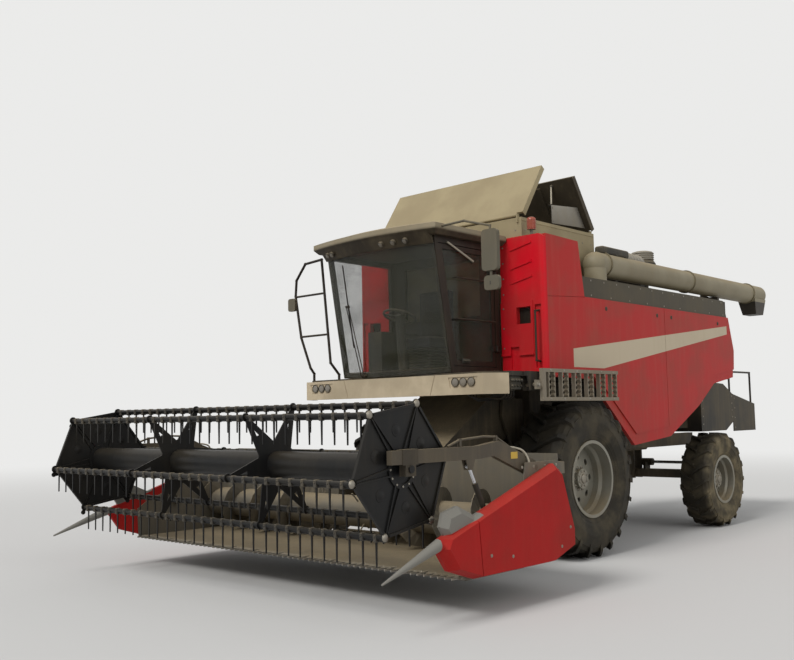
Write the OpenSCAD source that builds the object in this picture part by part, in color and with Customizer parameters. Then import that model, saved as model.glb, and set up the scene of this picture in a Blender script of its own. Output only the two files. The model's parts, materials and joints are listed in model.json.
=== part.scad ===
// Combine harvester with a cutting header, facing -Y, its left side at +X, standing on z = 0.
// Lengths along Y are measured from the front axle; middle() then centres the machine.

/* [Wheels] */
// Distance between the front and rear axles
wheelbase = 3700; // [3500:10:3850]
// Distance between the middles of the front tyres
front_track = 2600; // [2500:10:2700]
// Distance between the middles of the rear tyres
rear_track = 2600; // [2560:10:2700]
// Front tyre's diameter over its lugs
front_tyre_d = 1800; // [1700:10:1840]
// Front tyre's width
front_tyre_w = 640; // [560:10:680]
// Front rim's diameter over its flanges
front_rim_d = 890; // [840:10:940]
// Lugs on each half of a front tyre
front_lugs = 22; // [16:1:26]
// Height of a front tyre's lugs
front_lug_h = 48; // [35:1:60]
// Rear tyre's diameter over its lugs
rear_tyre_d = 1340; // [1260:10:1380]
// Rear tyre's width
rear_tyre_w = 430; // [380:10:460]
// Rear rim's diameter over its flanges
rear_rim_d = 690; // [640:10:720]
// Lugs on each half of a rear tyre
rear_lugs = 18; // [14:1:22]
// Height of a rear tyre's lugs
rear_lug_h = 38; // [28:1:48]
// Thickness of a rim's steel
rim_wall = 12; // [8:1:18]
// Diameter of an axle's stub shaft
stub_d = 120; // [90:5:140]
// Distance between the kingpins of the rear axle
kingpin_track = 2000; // [1900:10:2060]
// Diameter of a kingpin
kingpin_d = 60; // [40:2:80]

/* [Housing] */
// Width of the threshing housing
thresher_w = 1440; // [1300:10:1500]
// Height of the threshing housing's floor above the ground
thresher_floor_z = 1120; // [1080:10:1200]
// Width over the side panels
body_w = 2940; // [2860:10:3000]
// Thickness of a side panel
panel_t = 60; // [40:5:90]
// Height of the body's deck, where the wide upper housing starts
deck_z = 2120; // [2060:10:2180]
// Height of the side panel's shoulder, where the recessed band starts
shoulder_z = 3030; // [2950:10:3100]
// Height of the body behind the grain tank
rear_top_z = 3290; // [3200:10:3330]
// Height of the side panels beside the grain tank
front_top_z = 3710; // [3600:10:3760]
// Distance from the front axle forward to the body's front wall
front_wall_y = 670; // [620:10:720]
// Thickness of the red front walls beside the cab
front_wall_t = 60; // [40:5:80]
// Distance from the front axle back to the body's rear wall
rear_wall_y = 4180; // [4100:10:4300]

/* [Grain tank] */
// Distance from the front axle back to the tank's rear wall
tank_back_y = 920; // [850:10:1000]
// Width of the tank's raised rim
tank_rim_w = 2280; // [2200:10:2300]
// Height of the tank's raised rim above the ground
tank_rim_z = 3950; // [3880:10:4000]
// Thickness of the tank's walls
tank_wall = 22; // [16:1:40]
// Thickness of a tank cover
cover_t = 26; // [16:1:40]
// Angle of the open tank covers above level
cover_open = 56; // [30:1:75]

/* [Cab] */
// Width of the cab
cab_w = 1700; // [1600:10:1740]
// Height of the cab's floor
cab_floor_z = 2130; // [2100:10:2200]
// Height of the cab roof's underside
cab_top_z = 3620; // [3500:10:3660]
// Distance from the front axle to the foot of the windscreen
screen_foot_y = 1640; // [1580:10:1700]
// How far the top of the windscreen leans ahead of its foot
screen_lean = 260; // [150:10:320]
// Distance the windscreen's middle bows ahead of its corners
screen_bow = 110; // [60:5:140]
// Thickness of the cab's walls and door
cab_wall = 50; // [40:2:70]
// Thickness of the cab's glass
glass_t = 8; // [6:1:12]
// Thickness of the roof at its edge
roof_t = 130; // [100:5:160]
// Depth of the platform's edge and of the beige fascia
fascia_h = 220; // [180:5:260]
// Distance from the front axle to the fascia's face
fascia_y = 1780; // [1740:10:1820]
// Width over the platform
platform_w = 3100; // [3000:10:3160]

/* [Unloading auger] */
// Diameter of the unloading auger's tube
auger_tube_d = 300; // [260:5:330]
// Height of the unloading auger's middle
auger_z = 3510; // [3480:5:3540]
// Distance from the side of the tank's rim to the unloading auger's middle
auger_side = 170; // [150:5:190]
// Distance from the front axle back to the auger's upright pivot
auger_pivot_y = 640; // [600:10:700]
// Length of the auger's tube behind its pivot
auger_l = 5000; // [4600:10:5100]

/* [Rear end] */
// Width of the straw hood
hood_w = 1900; // [1800:10:2000]
// Distance from the front axle back to the end of the straw hood
hood_end_y = 5340; // [5200:10:5400]
// Distance from the front axle back to the end of the spreader
spreader_end_y = 6200; // [6050:10:6260]
// Sheet thickness of the hood and spreader
hood_t = 12; // [8:1:20]

/* [Header] */
// Width of the header over its end panels
header_w = 5120; // [4800:10:5200]
// Distance from the front axle to the header's back sheet
header_back_y = 2040; // [2000:10:2080]
// Height of the header's floor above the ground
header_floor_z = 330; // [260:5:380]
// Distance from the back sheet forward to the knife
table_depth = 1420; // [1300:10:1480]
// Diameter of the header auger over its flights
flight_d = 610; // [560:5:640]
// Diameter of the header auger's drum
drum_d = 330; // [260:5:380]
// Gap between the flights and the trough
trough_gap = 22; // [12:1:40]
// Thickness of the header's sheets
sheet_t = 12; // [8:1:20]
// Thickness of a moulded end panel
end_panel_t = 130; // [100:5:150]
// Spacing of the knife guards
guard_pitch = 76.2; // [70:0.1:90]
// Width of the feeder house
feeder_w = 1150; // [1050:10:1180]
// Distance from the front axle to the feeder house's pivot
feeder_pivot_y = 350; // [320:5:380]
// Height of the feeder house's pivot
feeder_pivot_z = 1700; // [1660:5:1740]
// Half the depth of the feeder house at its pivot
feeder_r = 290; // [260:5:310]

/* [Reel] */
// Distance from the front axle to the reel's axis
reel_y = 4050; // [4000:10:4100]
// Height of the reel's axis
reel_z = 1250; // [1200:10:1300]
// Radius of the circle of the bats
reel_r = 555; // [500:5:570]
// Space between each end of the reel and the header's side
reel_side_gap = 260; // [250:5:300]
// Length of the cranks that keep the bats upright
crank_l = 60; // [50:1:75]
// Diameter of the reel's middle tube
reel_tube_d = 245; // [200:5:260]
// Turn of the first bat about the reel's axis, up from ahead
reel_turn = -9; // [-30:1:30]
// Diameter of a bat's tube
bat_d = 42; // [34:1:50]
// Length of the tines
tine_l = 235; // [180:5:250]
// Spacing of the tines
tine_pitch = 150; // [120:5:200]
// Distance from the front axle to the reel arms' pivot
arm_pivot_y = 2400; // [2360:10:2440]
// Height of the reel arms' pivot
arm_pivot_z = 1180; // [1150:10:1220]
// Width of a reel arm
arm_w = 56; // [44:2:60]
// Distance that the reel can slide back along its arms
reel_slide = 320; // [200:10:340]

/* [Fits] */
// Gap between a shaft and its bore
shaft_gap = 0.3; // [0.2:0.1:0.5]
// Gap between a piece and the seat that carries it
seat_gap = 0.3; // [0.2:0.1:0.5]
// Gap between pieces that move past each other
run_gap = 8; // [6:1:12]

/* [Hidden] */
$fn = 48;
// Reach ahead of and behind the front axle, which sets the middle of the length
front_reach = reel_y + reel_r + bat_d / 2;
rear_reach = spreader_end_y;
front_axle_y = (front_reach - rear_reach) / 2;

front_z = front_tyre_d / 2;
rear_z = rear_tyre_d / 2;
body_half = body_w / 2;
inner_half = body_half - panel_t - seat_gap;
thresher_half = thresher_w / 2;
auger_x = tank_rim_w / 2 + auger_side;
header_half = header_w / 2;
reel_w = header_w - 2 * reel_side_gap;
end_sheet_x = header_half - end_panel_t;
knife_y = header_back_y + table_depth;
flight_r = flight_d / 2;
trough_r = flight_r + trough_gap;
auger_axis_y = header_back_y + trough_r;
auger_axis_z = header_floor_z + trough_r;
sleeve_t = 6;
sleeve_gap = 0.5;
crank_t = 8;
crank_space = 3 * crank_t;
arm_x = reel_w / 2 + crank_space + run_gap + sleeve_gap + sleeve_t + arm_w / 2;

// Outline in (y, z), extruded across the machine from x0 to x1
module side_extrude(x0, x1) {
    translate([x0, 0, 0]) rotate([90, 0, 90]) linear_extrude(x1 - x0) children();
}

// Outline in (x, z), extruded along the machine from y0 to y1
module front_extrude(y0, y1) {
    translate([0, y1, 0]) rotate([90, 0, 0]) linear_extrude(y1 - y0) children();
}

module both_sides() {
    children();
    mirror([1, 0, 0]) children();
}

// Box between two corners
module block(a, b) {
    translate(a) cube(b - a);
}

// Rectangle between two corners, with rounded corners
module rounded(a, b, r) {
    translate(a + [r, 0]) square(b - a - [2 * r, 0]);
    translate(a + [0, r]) square(b - a - [0, 2 * r]);
    for (x = [a.x + r, b.x - r], y = [a.y + r, b.y - r]) translate([x, y]) circle(r = r);
}

// Round bar along X
module bar_x(d, x0, x1, y, z) {
    translate([x0, y, z]) rotate([0, 90, 0]) cylinder(d = d, h = x1 - x0);
}

// Round bar between two points
module bar(p, q, d) {
    v = q - p;
    translate(p) rotate([0, acos(v.z / norm(v)), atan2(v.y, v.x)]) cylinder(d = d, h = norm(v));
}

// Tube through a list of points, its lengths lapping at the bends; every other one is a hair slimmer
module bent_tube(points, d) {
    for (i = [0 : len(points) - 2]) {
        v = (points[i + 1] - points[i]) / norm(points[i + 1] - points[i]);
        bar(points[i] - v * d * (i > 0 ? 0.4 : 0), points[i + 1] + v * d * (i < len(points) - 2 ? 0.4 : 0),
            d * (1 - 0.015 * (i % 2)));
    }
}

// Points on an arc about c, from angle a0 to a1 in n steps
function arc(c, r, a0, a1, n) = [for (i = [0 : n]) let (a = a0 + (a1 - a0) * i / n) c + r * [cos(a), sin(a)]];

// Wheels: each is built about its own axis along Z, with its outer side up, then laid over

rim_flange = 25;
// Outline of a sidewall: columns are the shares of its height over the rim and of the half width
sidewall = [[0, 0.80], [0.22, 0.93], [0.50, 1.00], [0.78, 0.965], [0.93, 0.86], [1.0, 0.66]];
// Stations along a lug: shares of the half width and of its slant, then the drop of its top, the depth
// of its root and its width in lug heights
lug_stations = [[-0.05, 0, 0, 1.3, 1.15], [0.42, 0.46, 0, 1.3, 1.0], [0.85, 0.88, 0.15, 2.2, 1.1],
    [0.995, 1.0, 1.75, 3.2, 1.0]];
lug_slant = 13;

module tyre(d, w, rim_d, lug_h, lugs) {
    carcass_r = d / 2 - lug_h;
    rim_r = rim_d / 2;
    seat_r = rim_r - rim_flange + seat_gap;
    side = [for (s = sidewall) [rim_r + s[0] * (carcass_r - rim_r), s[1] * w / 2]];
    bead = side[0][1];
    color("dimgray") union() {
        rotate_extrude() polygon(concat([[seat_r, -bead]], [for (p = side) [p.x, -p.y]],
            [for (i = [len(side) - 1 : -1 : 0]) side[i]], [[seat_r, bead]]));
        for (i = [0 : lugs - 1], s = [1, -1])
            rotate((i + (s > 0 ? 0 : 0.5)) * 360 / lugs) lug(d / 2, w / 2, lug_h, s);
    }
}

// One lug of a tyre's half: a bar that runs out from the middle, falls back and drops over the shoulder
module lug(r, half_w, h, s) {
    rings = [for (k = lug_stations) let (a = -k[1] * lug_slant, t = k[4] * h / 2,
        ro = sqrt((r - k[2] * h) ^ 2 - t ^ 2), ri = r - k[3] * h, z = s * k[0] * half_w)
        [for (p = [[ro, -t], [ro, t], [ri, t], [ri, -t]])
        [p[0] * cos(a) - p[1] * sin(a), p[0] * sin(a) + p[1] * cos(a), z]]];
    ring_loft(rings, s > 0);
}

// Solid through rings of four points each
module ring_loft(rings, flip) {
    n = len(rings);
    faces = concat([[0, 1, 2], [0, 2, 3]],
        [for (k = [0 : n - 2], j = [0 : 3]) let (a = 4 * k + j, b = 4 * k + (j + 1) % 4) [a, a + 4, b + 4]],
        [for (k = [0 : n - 2], j = [0 : 3]) let (a = 4 * k + j, b = 4 * k + (j + 1) % 4) [a, b + 4, b]],
        [[4 * n - 4, 4 * n - 2, 4 * n - 3], [4 * n - 4, 4 * n - 1, 4 * n - 2]]);
    polyhedron([for (r = rings) each r], [for (f = faces) flip ? f : [f[2], f[1], f[0]]]);
}

// Rim with a dished disc, hand holes and a hub bored for the stub shaft
module rim(w, rim_d, disc_z, hub_back) {
    rim_r = rim_d / 2 - 1;
    seat_r = rim_d / 2 - rim_flange;
    edge = sidewall[0][1] * w / 2 + seat_gap;
    well_r = seat_r - 22;
    hub_r = stub_d / 2 + 55;
    color("silver") difference() {
        union() {
            rotate_extrude() polygon([[rim_r, edge + rim_wall], [rim_r, edge], [seat_r, edge],
                [seat_r, 0.55 * edge],
                [well_r, 0.4 * edge], [well_r, -0.4 * edge], [seat_r, -0.55 * edge], [seat_r, -edge],
                [rim_r, -edge], [rim_r, -edge - rim_wall], [seat_r - rim_wall, -edge - rim_wall],
                [seat_r - rim_wall, -0.55 * edge], [well_r - rim_wall, -0.4 * edge],
                [well_r - rim_wall, 0.4 * edge], [seat_r - rim_wall, 0.55 * edge],
                [seat_r - rim_wall, edge + rim_wall]]);
            rotate_extrude() polygon([[0, disc_z + 20], [hub_r + 30, disc_z + 20],
                [well_r - rim_wall + 2, disc_z - 30],
                [well_r - rim_wall + 2, disc_z - 46], [hub_r + 30, disc_z], [0, disc_z]]);
            translate([0, 0, -hub_back]) cylinder(r = hub_r, h = hub_back + disc_z + 70);
        }
        translate([0, 0, -hub_back - 1]) cylinder(d = stub_d + 2 * shaft_gap, h = hub_back + disc_z + 30);
        for (i = [0 : 7]) rotate(i * 45) translate([(hub_r + well_r) / 2, 0, disc_z - 100])
            cylinder(d = 0.2 * (well_r - hub_r) + 20, h = 160);
    }
}

// Lays a wheel's axis along X at an axle's end, outer side outwards
module at_wheel(side, x, y, z) {
    translate([side * x, y, z]) rotate([0, side * 90, 0]) children();
}

front_disc_z = 60;
rear_disc_z = 20;
hub_back = 110;

module front_tyre(side) at_wheel(side, front_track / 2, 0, front_z)
    tyre(front_tyre_d, front_tyre_w, front_rim_d, front_lug_h, front_lugs);
module rear_tyre(side) at_wheel(side, rear_track / 2, wheelbase, rear_z)
    tyre(rear_tyre_d, rear_tyre_w, rear_rim_d, rear_lug_h, rear_lugs);
module front_rim(side) at_wheel(side, front_track / 2, 0, front_z)
    rim(front_tyre_w, front_rim_d, front_disc_z, hub_back);
module rear_rim(side) at_wheel(side, rear_track / 2, wheelbase, rear_z)
    rim(rear_tyre_w, rear_rim_d, rear_disc_z, hub_back - 20);

// Frame and axles

rail_w = 80;
rail_z0 = 1150;
rail_z1 = 1330;
cheek_x = feeder_w / 2 + run_gap + 12;
cheek_t = 40;
pivot_d = 90;
cross_y = -120;
beam_h = 210;

axle_pivot_d = 80;

module axle_pivot(d) translate([0, wheelbase - 150, axle_beam_z]) rotate([-90, 0, 0]) cylinder(d = d, h = 300);

module chassis_frame() color("dimgray") {
    both_sides() {
        block([thresher_half + seat_gap, cross_y - 60, rail_z0], [thresher_half + rail_w, rear_wall_y - 20,
            rail_z1]);
        block([cheek_x, cross_y - 80, rail_z0], [thresher_half + rail_w, cross_y + 80, rail_z1]);
        side_extrude(cheek_x, cheek_x + cheek_t) polygon([[cross_y - 80, rail_z0], [cross_y + 80, rail_z0],
            [cross_y + 80, feeder_pivot_z + 150], [-feeder_pivot_y - 90, feeder_pivot_z + 150],
            [-feeder_pivot_y - 120, feeder_pivot_z - 60]]);
        bar_x(pivot_d, cheek_x - run_gap - 40, cheek_x + 1, -feeder_pivot_y, feeder_pivot_z);
        block([thresher_half + seat_gap, -110, front_z + beam_h / 2 + seat_gap],
            [thresher_half + rail_w, 110, rail_z0 + 1]);
    }
    bar_x(130, -cheek_x - 1, cheek_x + 1, cross_y, (rail_z0 + rail_z1) / 2);
    block([-thresher_half - 1, wheelbase - 90, rail_z0], [thresher_half + 1, wheelbase + 90, rail_z1]);
    difference() {
        for (s = [-1, 1]) block([-110, wheelbase + s * 112 - 20, rear_z - 20],
            [110, wheelbase + s * 112 + 20, rail_z0 + 1]);
        axle_pivot(axle_pivot_d + 2 * shaft_gap);
    }
    for (s = [-1, 1]) block([-110, wheelbase + s * 100 - 32, rail_z0],
        [110, wheelbase + s * 100 + 32, rail_z1]);
}

final_drive_r = 235;

module front_axle() color("dimgray") {
    block([-thresher_half - rail_w - 1, -110, front_z - beam_h / 2], [thresher_half + rail_w + 1, 110,
        front_z + beam_h / 2]);
    bar_x(420, -250, 170, 0, front_z);
    both_sides() {
        bar_x(2 * final_drive_r, thresher_half + rail_w + seat_gap, front_track / 2 - hub_back - run_gap, 0,
            front_z);
        bar_x(stub_d, front_track / 2 - hub_back - 20, front_track / 2 + front_disc_z + 20, 0, front_z);
        for (x = [lift_x - lug_x - lug_t, lift_x + lug_x]) difference() {
            side_extrude(x, x + lug_t) polygon([[-100, front_z + 60], [-100, front_z - beam_h / 2],
                [lift_foot[0] + 30, lift_foot[1] - 55], [lift_foot[0] - 50, lift_foot[1] - 20],
                [lift_foot[0] - 50, lift_foot[1] + 45]]);
            bar_x(lift_pin_d + 2 * shaft_gap, x - 1, x + 21, lift_foot[0], lift_foot[1]);
        }
    }
}

axle_beam_z = rear_z + 60;
knuckle_boss_d = 136;
knuckle_boss_h = 150;
steer_arm = 190;
steer_rod_d = 44;
steer_rod_z = axle_beam_z + 155;

module rear_axle() color("dimgray") difference() {
    union() {
        block([-kingpin_track / 2, wheelbase - 75, axle_beam_z - 60],
            [kingpin_track / 2, wheelbase + 75, axle_beam_z + 60]);
        axle_pivot(axle_pivot_d);
        both_sides() translate([kingpin_track / 2, wheelbase, axle_beam_z - knuckle_boss_h / 2])
            cylinder(d = knuckle_boss_d, h = knuckle_boss_h);
        for (x = [-200, 160]) block([x, wheelbase + 60, axle_beam_z - 20],
            [x + 40, wheelbase + steer_arm + 20, steer_rod_z]);
        bar_x(110, -260, 260, wheelbase + steer_arm, steer_rod_z);
    }
    both_sides() translate([kingpin_track / 2, wheelbase, axle_beam_z - knuckle_boss_h / 2 - 1])
        cylinder(d = kingpin_d + 2 * shaft_gap, h = knuckle_boss_h + 2);
    bar_x(steer_rod_d + 2 * shaft_gap, -270, 270, wheelbase + steer_arm, steer_rod_z);
}

// Steering knuckle: a fork about the axle's boss, with the stub shaft and the steering arm
module knuckle() color("dimgray") {
    x = kingpin_track / 2;
    fork = knuckle_boss_h / 2 + 2;
    for (z = [axle_beam_z - fork - 40, axle_beam_z + fork]) {
        translate([x, wheelbase, z]) cylinder(d = knuckle_boss_d, h = 40);
        block([x, wheelbase - 60, z], [x + 140, wheelbase + 60, z + 40]);
    }
    block([x + 82, wheelbase - 60, axle_beam_z - fork - 40], [x + 140, wheelbase + 60,
        axle_beam_z + fork + 40]);
    translate([x, wheelbase, axle_beam_z - fork - 20]) cylinder(d = kingpin_d, h = 2 * fork + 40);
    bar_x(stub_d, x + 120, rear_track / 2 + rear_disc_z + 20, wheelbase, rear_z);
    block([x - 35, wheelbase, axle_beam_z + fork], [x + 35, wheelbase + steer_arm, axle_beam_z + fork + 40]);
    translate([x, wheelbase + steer_arm, axle_beam_z + fork]) cylinder(d = 90, h = 40);
}

module steering_rod() color("silver") {
    bar_x(steer_rod_d, -kingpin_track / 2 + 30, kingpin_track / 2 - 30, wheelbase + steer_arm, steer_rod_z);
    both_sides() translate([kingpin_track / 2, wheelbase + steer_arm, axle_beam_z + knuckle_boss_h / 2 + 44])
        cylinder(d = 84, h = 60);
}

// Housing and panels

floor_rise_y = 2850;
floor_rise_z = 1400;
bay_y0 = 1250;
bay_y1 = 2700;

module main_housing() color("dimgray") difference() {
    union() {
        side_extrude(-thresher_half, thresher_half) polygon([[-20, floor_rise_z + 20],
            [160, floor_rise_z - 40],
            [160, thresher_floor_z], [floor_rise_y, thresher_floor_z], [floor_rise_y + 400, floor_rise_z],
            [rear_wall_y, floor_rise_z], [rear_wall_y, deck_z], [-20, deck_z]]);
        block([-inner_half, tank_back_y + seat_gap, deck_z - 1], [inner_half, rear_wall_y, rear_top_z]);
        for (y = [900, 2100]) bar_x(280, -thresher_half, thresher_half, y, thresher_floor_z + 30);
        both_sides() for (y = [300, 2400]) block([thresher_half - 1, y, deck_z - 80],
            [inner_half, y + 80, deck_z]);
        difference() {
            block([auger_x - 170, rear_wall_y - 260, rear_top_z - 1],
                [inner_half, rear_wall_y - 200, auger_z - 60]);
            translate([auger_x, rear_wall_y, auger_z]) rotate([90, 0,
                0]) cylinder(d = auger_tube_d + 2 * run_gap, h = 400);
            block([auger_x, rear_wall_y - 261, auger_z - auger_tube_d / 2 - run_gap],
                [inner_half + 1, rear_wall_y, auger_z]);
        }
    }
    block([-950, bay_y0, 2380], [750, bay_y1, rear_top_z + 1]);
}

// Side panel's outline from its front top corner rearwards, in (y, z)
panel_outline = [[-front_wall_y, front_top_z], [0, front_top_z - 15], [90, rear_top_z],
    [rear_wall_y - 160, rear_top_z], [rear_wall_y - 60, shoulder_z], [rear_wall_y + 90, shoulder_z - 480],
    [rear_wall_y + 50, deck_z + 30], [3570, 2050], [3050, 1730], [2170, 1330], [1200, 1245], [470, 1850],
    [300, deck_z - 60], [-front_wall_y, deck_z - 40]];

// Crease above the panel's lower edge, below which the sheet is folded in
panel_crease = [[240, 2105], [520, 1945], [1235, 1385], [2120, 1465], [2985, 1855], [3540, 2165],
    [rear_wall_y + 20, 2265]];
flange_d = 16;
band_d = 22;
door_seam_y = 2100;

module side_panel() color("firebrick") difference() {
    side_extrude(body_half - panel_t, body_half) polygon(panel_outline);
    side_extrude(body_half - band_d, body_half + 1) polygon([[110, shoulder_z + 10],
        [rear_wall_y + 200, shoulder_z + 10],
        [rear_wall_y + 200, front_top_z + 50], [-10, front_top_z + 50]]);
    side_extrude(body_half - flange_d, body_half + 1) polygon(concat(panel_crease,
        [[rear_wall_y + 200, 2265], [rear_wall_y + 200, 1000], [200, 1000]]));
    side_extrude(body_half - seam_w, body_half + 1) polygon([[-front_wall_y - 1, shoulder_z - 45],
        [-front_wall_y - 1, shoulder_z - 45 + seam_w], [111, shoulder_z + 10],
        [111, shoulder_z + 10 - seam_w]]);
    side_extrude(body_half - seam_w, body_half + 1) polygon([[door_seam_y, 1400],
        [door_seam_y + seam_w, 1400],
        [door_seam_y + seam_w, shoulder_z + 11], [door_seam_y, shoulder_z + 11]]);
}

wall_x0 = cab_w / 2 + 12;
wall_face_y = -front_wall_y - front_wall_t;
wall_corner_r = front_wall_t - 2;
// Pressed ribs: columns are the heights of the inner and outer ends
wall_ribs = [[3550, 3615], [3330, 3395], [3160, 3225]];
rib_h = 26;
rib_d = 12;
// Step below which the wall stands out and is wider, and the ledge near its foot
wall_step_z = 2950;
wall_ledge_z = 2340;
// Upright channel for the grab rail
channel_x = 1330;
channel_w = 85;
channel_d = 26;
channel_z = [2180, 2900];

// A front wall beside the cab: a pressed sheet with a rounded corner, ribs, a step, and a pocket
module front_wall() difference() {
    union() {
        difference() {
            translate([0, 0, deck_z + seat_gap]) linear_extrude(front_top_z - deck_z - seat_gap) union() {
                polygon([[wall_x0, -front_wall_y - seat_gap], [wall_x0, wall_face_y],
                    [body_half - wall_corner_r, wall_face_y], [body_half - wall_corner_r,
                    -front_wall_y - seat_gap]]);
                intersection() {
                    translate([body_half - wall_corner_r,
                        wall_face_y + wall_corner_r]) circle(r = wall_corner_r);
                    translate([body_half - wall_corner_r - 1, wall_face_y]) square([wall_corner_r + 1,
                        front_wall_t - seat_gap]);
                }
            }
            front_extrude(wall_face_y - 1, -front_wall_y + 1) polygon([[body_half - 60, front_top_z + 1],
                [body_half + 1, front_top_z - 41], [body_half + 1, front_top_z + 1]]);
            front_extrude(wall_face_y - 1, -front_wall_y + 1) polygon([[wall_x0 - 1, front_top_z - 51],
                [wall_x0 + 60, front_top_z + 1], [wall_x0 - 1, front_top_z + 1]]);
        }
        for (z = wall_ribs) front_extrude(wall_face_y - rib_d, wall_face_y + 1) polygon([[wall_x0 + 150,
            z[0]], [1310, z[1]], [1310, z[1] + rib_h], [wall_x0 + 150, z[0] + rib_h]]);
        block([wall_x0, wall_face_y - rib_d, wall_ledge_z], [1310, wall_face_y + 1, wall_step_z]);
        block([wall_x0, wall_face_y - 2 * rib_d, wall_ledge_z - 10],
            [1310, wall_face_y + 1, wall_ledge_z + 12]);
    }
    block([1085, wall_face_y - 2 * rib_d, 2690], [1280, -front_wall_y - 15, 2885]);
    block([channel_x, wall_face_y - 1, channel_z[0]], [channel_x + channel_w, wall_face_y + channel_d,
        channel_z[1]]);
    block([990, wall_face_y - 3 * rib_d, deck_z], [1110, wall_face_y + 16, wall_ledge_z + 90]);
}

module front_walls() both_sides() color("red") front_wall();

cover_lug_x = tank_rim_w / 2 - 60;
cover_pin_d = 18;

// The body steps in here to make room for the unloading auger
auger_bay_y = 110;

// The tank: an open hopper with sloped floors and a raised rim
module grain_tank() color("tan") {
    y0 = -front_wall_y + seat_gap;
    y1 = tank_back_y - seat_gap;
    rim_half = tank_rim_w / 2;
    difference() {
        union() {
            block([-inner_half, y0, deck_z + seat_gap], [inner_half, y1, front_top_z - 20]);
            block([-rim_half, y0, front_top_z - 21], [rim_half, y1, tank_rim_z]);
            both_sides() for (y = [-front_wall_y, tank_back_y]) {
                block([cover_lug_x + 1, y - 20, tank_rim_z - 60], [cover_lug_x + 21, y + 20,
                    tank_rim_z + cover_t + 16]);
                bar_x(cover_pin_d, cover_lug_x - 50, cover_lug_x + 2, y, tank_rim_z + cover_t);
            }
        }
        block([-rim_half + tank_wall, y0 + tank_wall, 2990], [rim_half - tank_wall, y1 - tank_wall,
            tank_rim_z + 1]);
        both_sides() block([rim_half, auger_bay_y, rear_top_z], [inner_half + 1, y1 + 1, front_top_z]);
        hull() {
            block([-rim_half + tank_wall, y0 + tank_wall, 2999], [rim_half - tank_wall, y1 - tank_wall,
                3000]);
            block([-260, y0 + 240, 2300], [260, y1 - 240, 2301]);
        }
    }
}

module engine_block() color("gray") block([-620, bay_y0 + 180, 2380 + seat_gap], [420, bay_y1 - 250, 3180]);

hood_slots = 7;

// Cover over the engine, slotted on both sides, with the exhaust and the intake's bowl
module engine_hood() color("dimgray") {
    difference() {
        front_extrude(bay_y0 - 60, bay_y1 + 60) polygon([[-1050, rear_top_z + seat_gap],
            [850, rear_top_z + seat_gap], [850, 3560], [760, 3680], [-960, 3680], [-1050, 3560]]);
        front_extrude(bay_y0 - 30, bay_y1 + 30) polygon([[-1020, rear_top_z - 1], [820, rear_top_z - 1],
            [820, 3550], [745, 3655], [-945, 3655], [-1020, 3550]]);
        for (i = [0 : hood_slots - 1], y = [bay_y0 + 60, (bay_y0 + bay_y1) / 2 + 30]) block([-1051,
            y, rear_top_z + 60 + 28 * i], [851, y + (bay_y1 - bay_y0) / 2 - 90, rear_top_z + 74 + 28 * i]);
    }
    translate([700, 3000, rear_top_z + seat_gap]) cylinder(d = 150, h = 420);
    translate([700, 3000, 3700]) cylinder(d = 380, h = 130);
    translate([700, 3000, 3829]) rotate_extrude() polygon([[0, 0], [190, 0], [150, 60], [0, 72]]);
    translate([-700, 2950, rear_top_z + seat_gap]) difference() {
        cylinder(d = 120, h = 520);
        translate([0, 0, 300]) cylinder(d = 108, h = 300);
    }
}

module straw_hood() color("dimgray") difference() {
    hood_half = hood_w / 2;
    side_extrude(-hood_half, hood_half) polygon([[rear_wall_y + seat_gap, deck_z], [5000, 2080],
        [hood_end_y, 1920], [hood_end_y, 1480], [5050, 1340], [rear_wall_y + seat_gap, 1340]]);
    side_extrude(-hood_half + hood_t, hood_half - hood_t) polygon([[rear_wall_y + hood_t, deck_z - hood_t],
        [5000, 2080 - hood_t], [hood_end_y - hood_t, 1910], [hood_end_y - hood_t, 1640],
        [hood_end_y + 1, 1640], [hood_end_y + 1, 1400], [5050, 1339], [rear_wall_y + hood_t, 1339]]);
}

module straw_spreader() color("dimgray") {
    hood_half = hood_w / 2;
    y0 = hood_end_y + seat_gap;
    difference() {
        side_extrude(-hood_half, hood_half) polygon([[y0, 1920], [spreader_end_y, 1760],
            [spreader_end_y, 1320], [y0, 1320]]);
        side_extrude(-hood_half + hood_t, hood_half - hood_t) polygon([[y0 - 1, 1905],
            [spreader_end_y + 1, 1745], [spreader_end_y + 1, 1319], [y0 - 1, 1319]]);
    }
    for (i = [-3 : 3]) side_extrude(i * 250 - 5, i * 250 + 5) polygon([[y0 + 30, 1907],
        [spreader_end_y - 40, 1757], [spreader_end_y - 60, 1420], [y0 + 60, 1500]]);
}

// Cab and platform

cab_half = cab_w / 2;
cab_back_y = -front_wall_y - front_wall_t - 15;
screen_top_y = -screen_foot_y - screen_lean;
lean_angle = atan(screen_lean / (cab_top_z - cab_floor_z));
door_y0 = -screen_foot_y + 40;
door_y1 = cab_back_y - 90;

cab_outline = [[cab_back_y, cab_floor_z], [-screen_foot_y, cab_floor_z], [screen_top_y, cab_top_z],
    [cab_back_y, cab_top_z]];

// Opening for the door: columns follow the leaning front pillar
door_outline = [[door_y1, cab_floor_z + 70], [door_y0, cab_floor_z + 70],
    [door_y0 - screen_lean * 0.9, cab_top_z - 70], [door_y1, cab_top_z - 70]];

hinge_x = cab_half + 16;
hinge_zs = [2420, 3280];
hinge_pin_d = 16;

module cab_frame() color("darkslategray") {
    cab_shell();
    screen_rails();
    both_sides() for (y = [-screen_foot_y + 60, cab_back_y - 220])
        block([cab_half - 200, y, deck_z + seat_gap], [cab_half - 60, y + 140, cab_floor_z + 1]);
    for (z = hinge_zs) {
        for (dz = [-30 - seat_gap - 12, 30 + seat_gap]) block([cab_half - 1, door_y1 - 13, z + dz],
            [hinge_x + 14, door_y1 + 60, z + dz + 12]);
        translate([hinge_x, door_y1, z - 40]) cylinder(d = hinge_pin_d, h = 80);
    }
}

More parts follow.
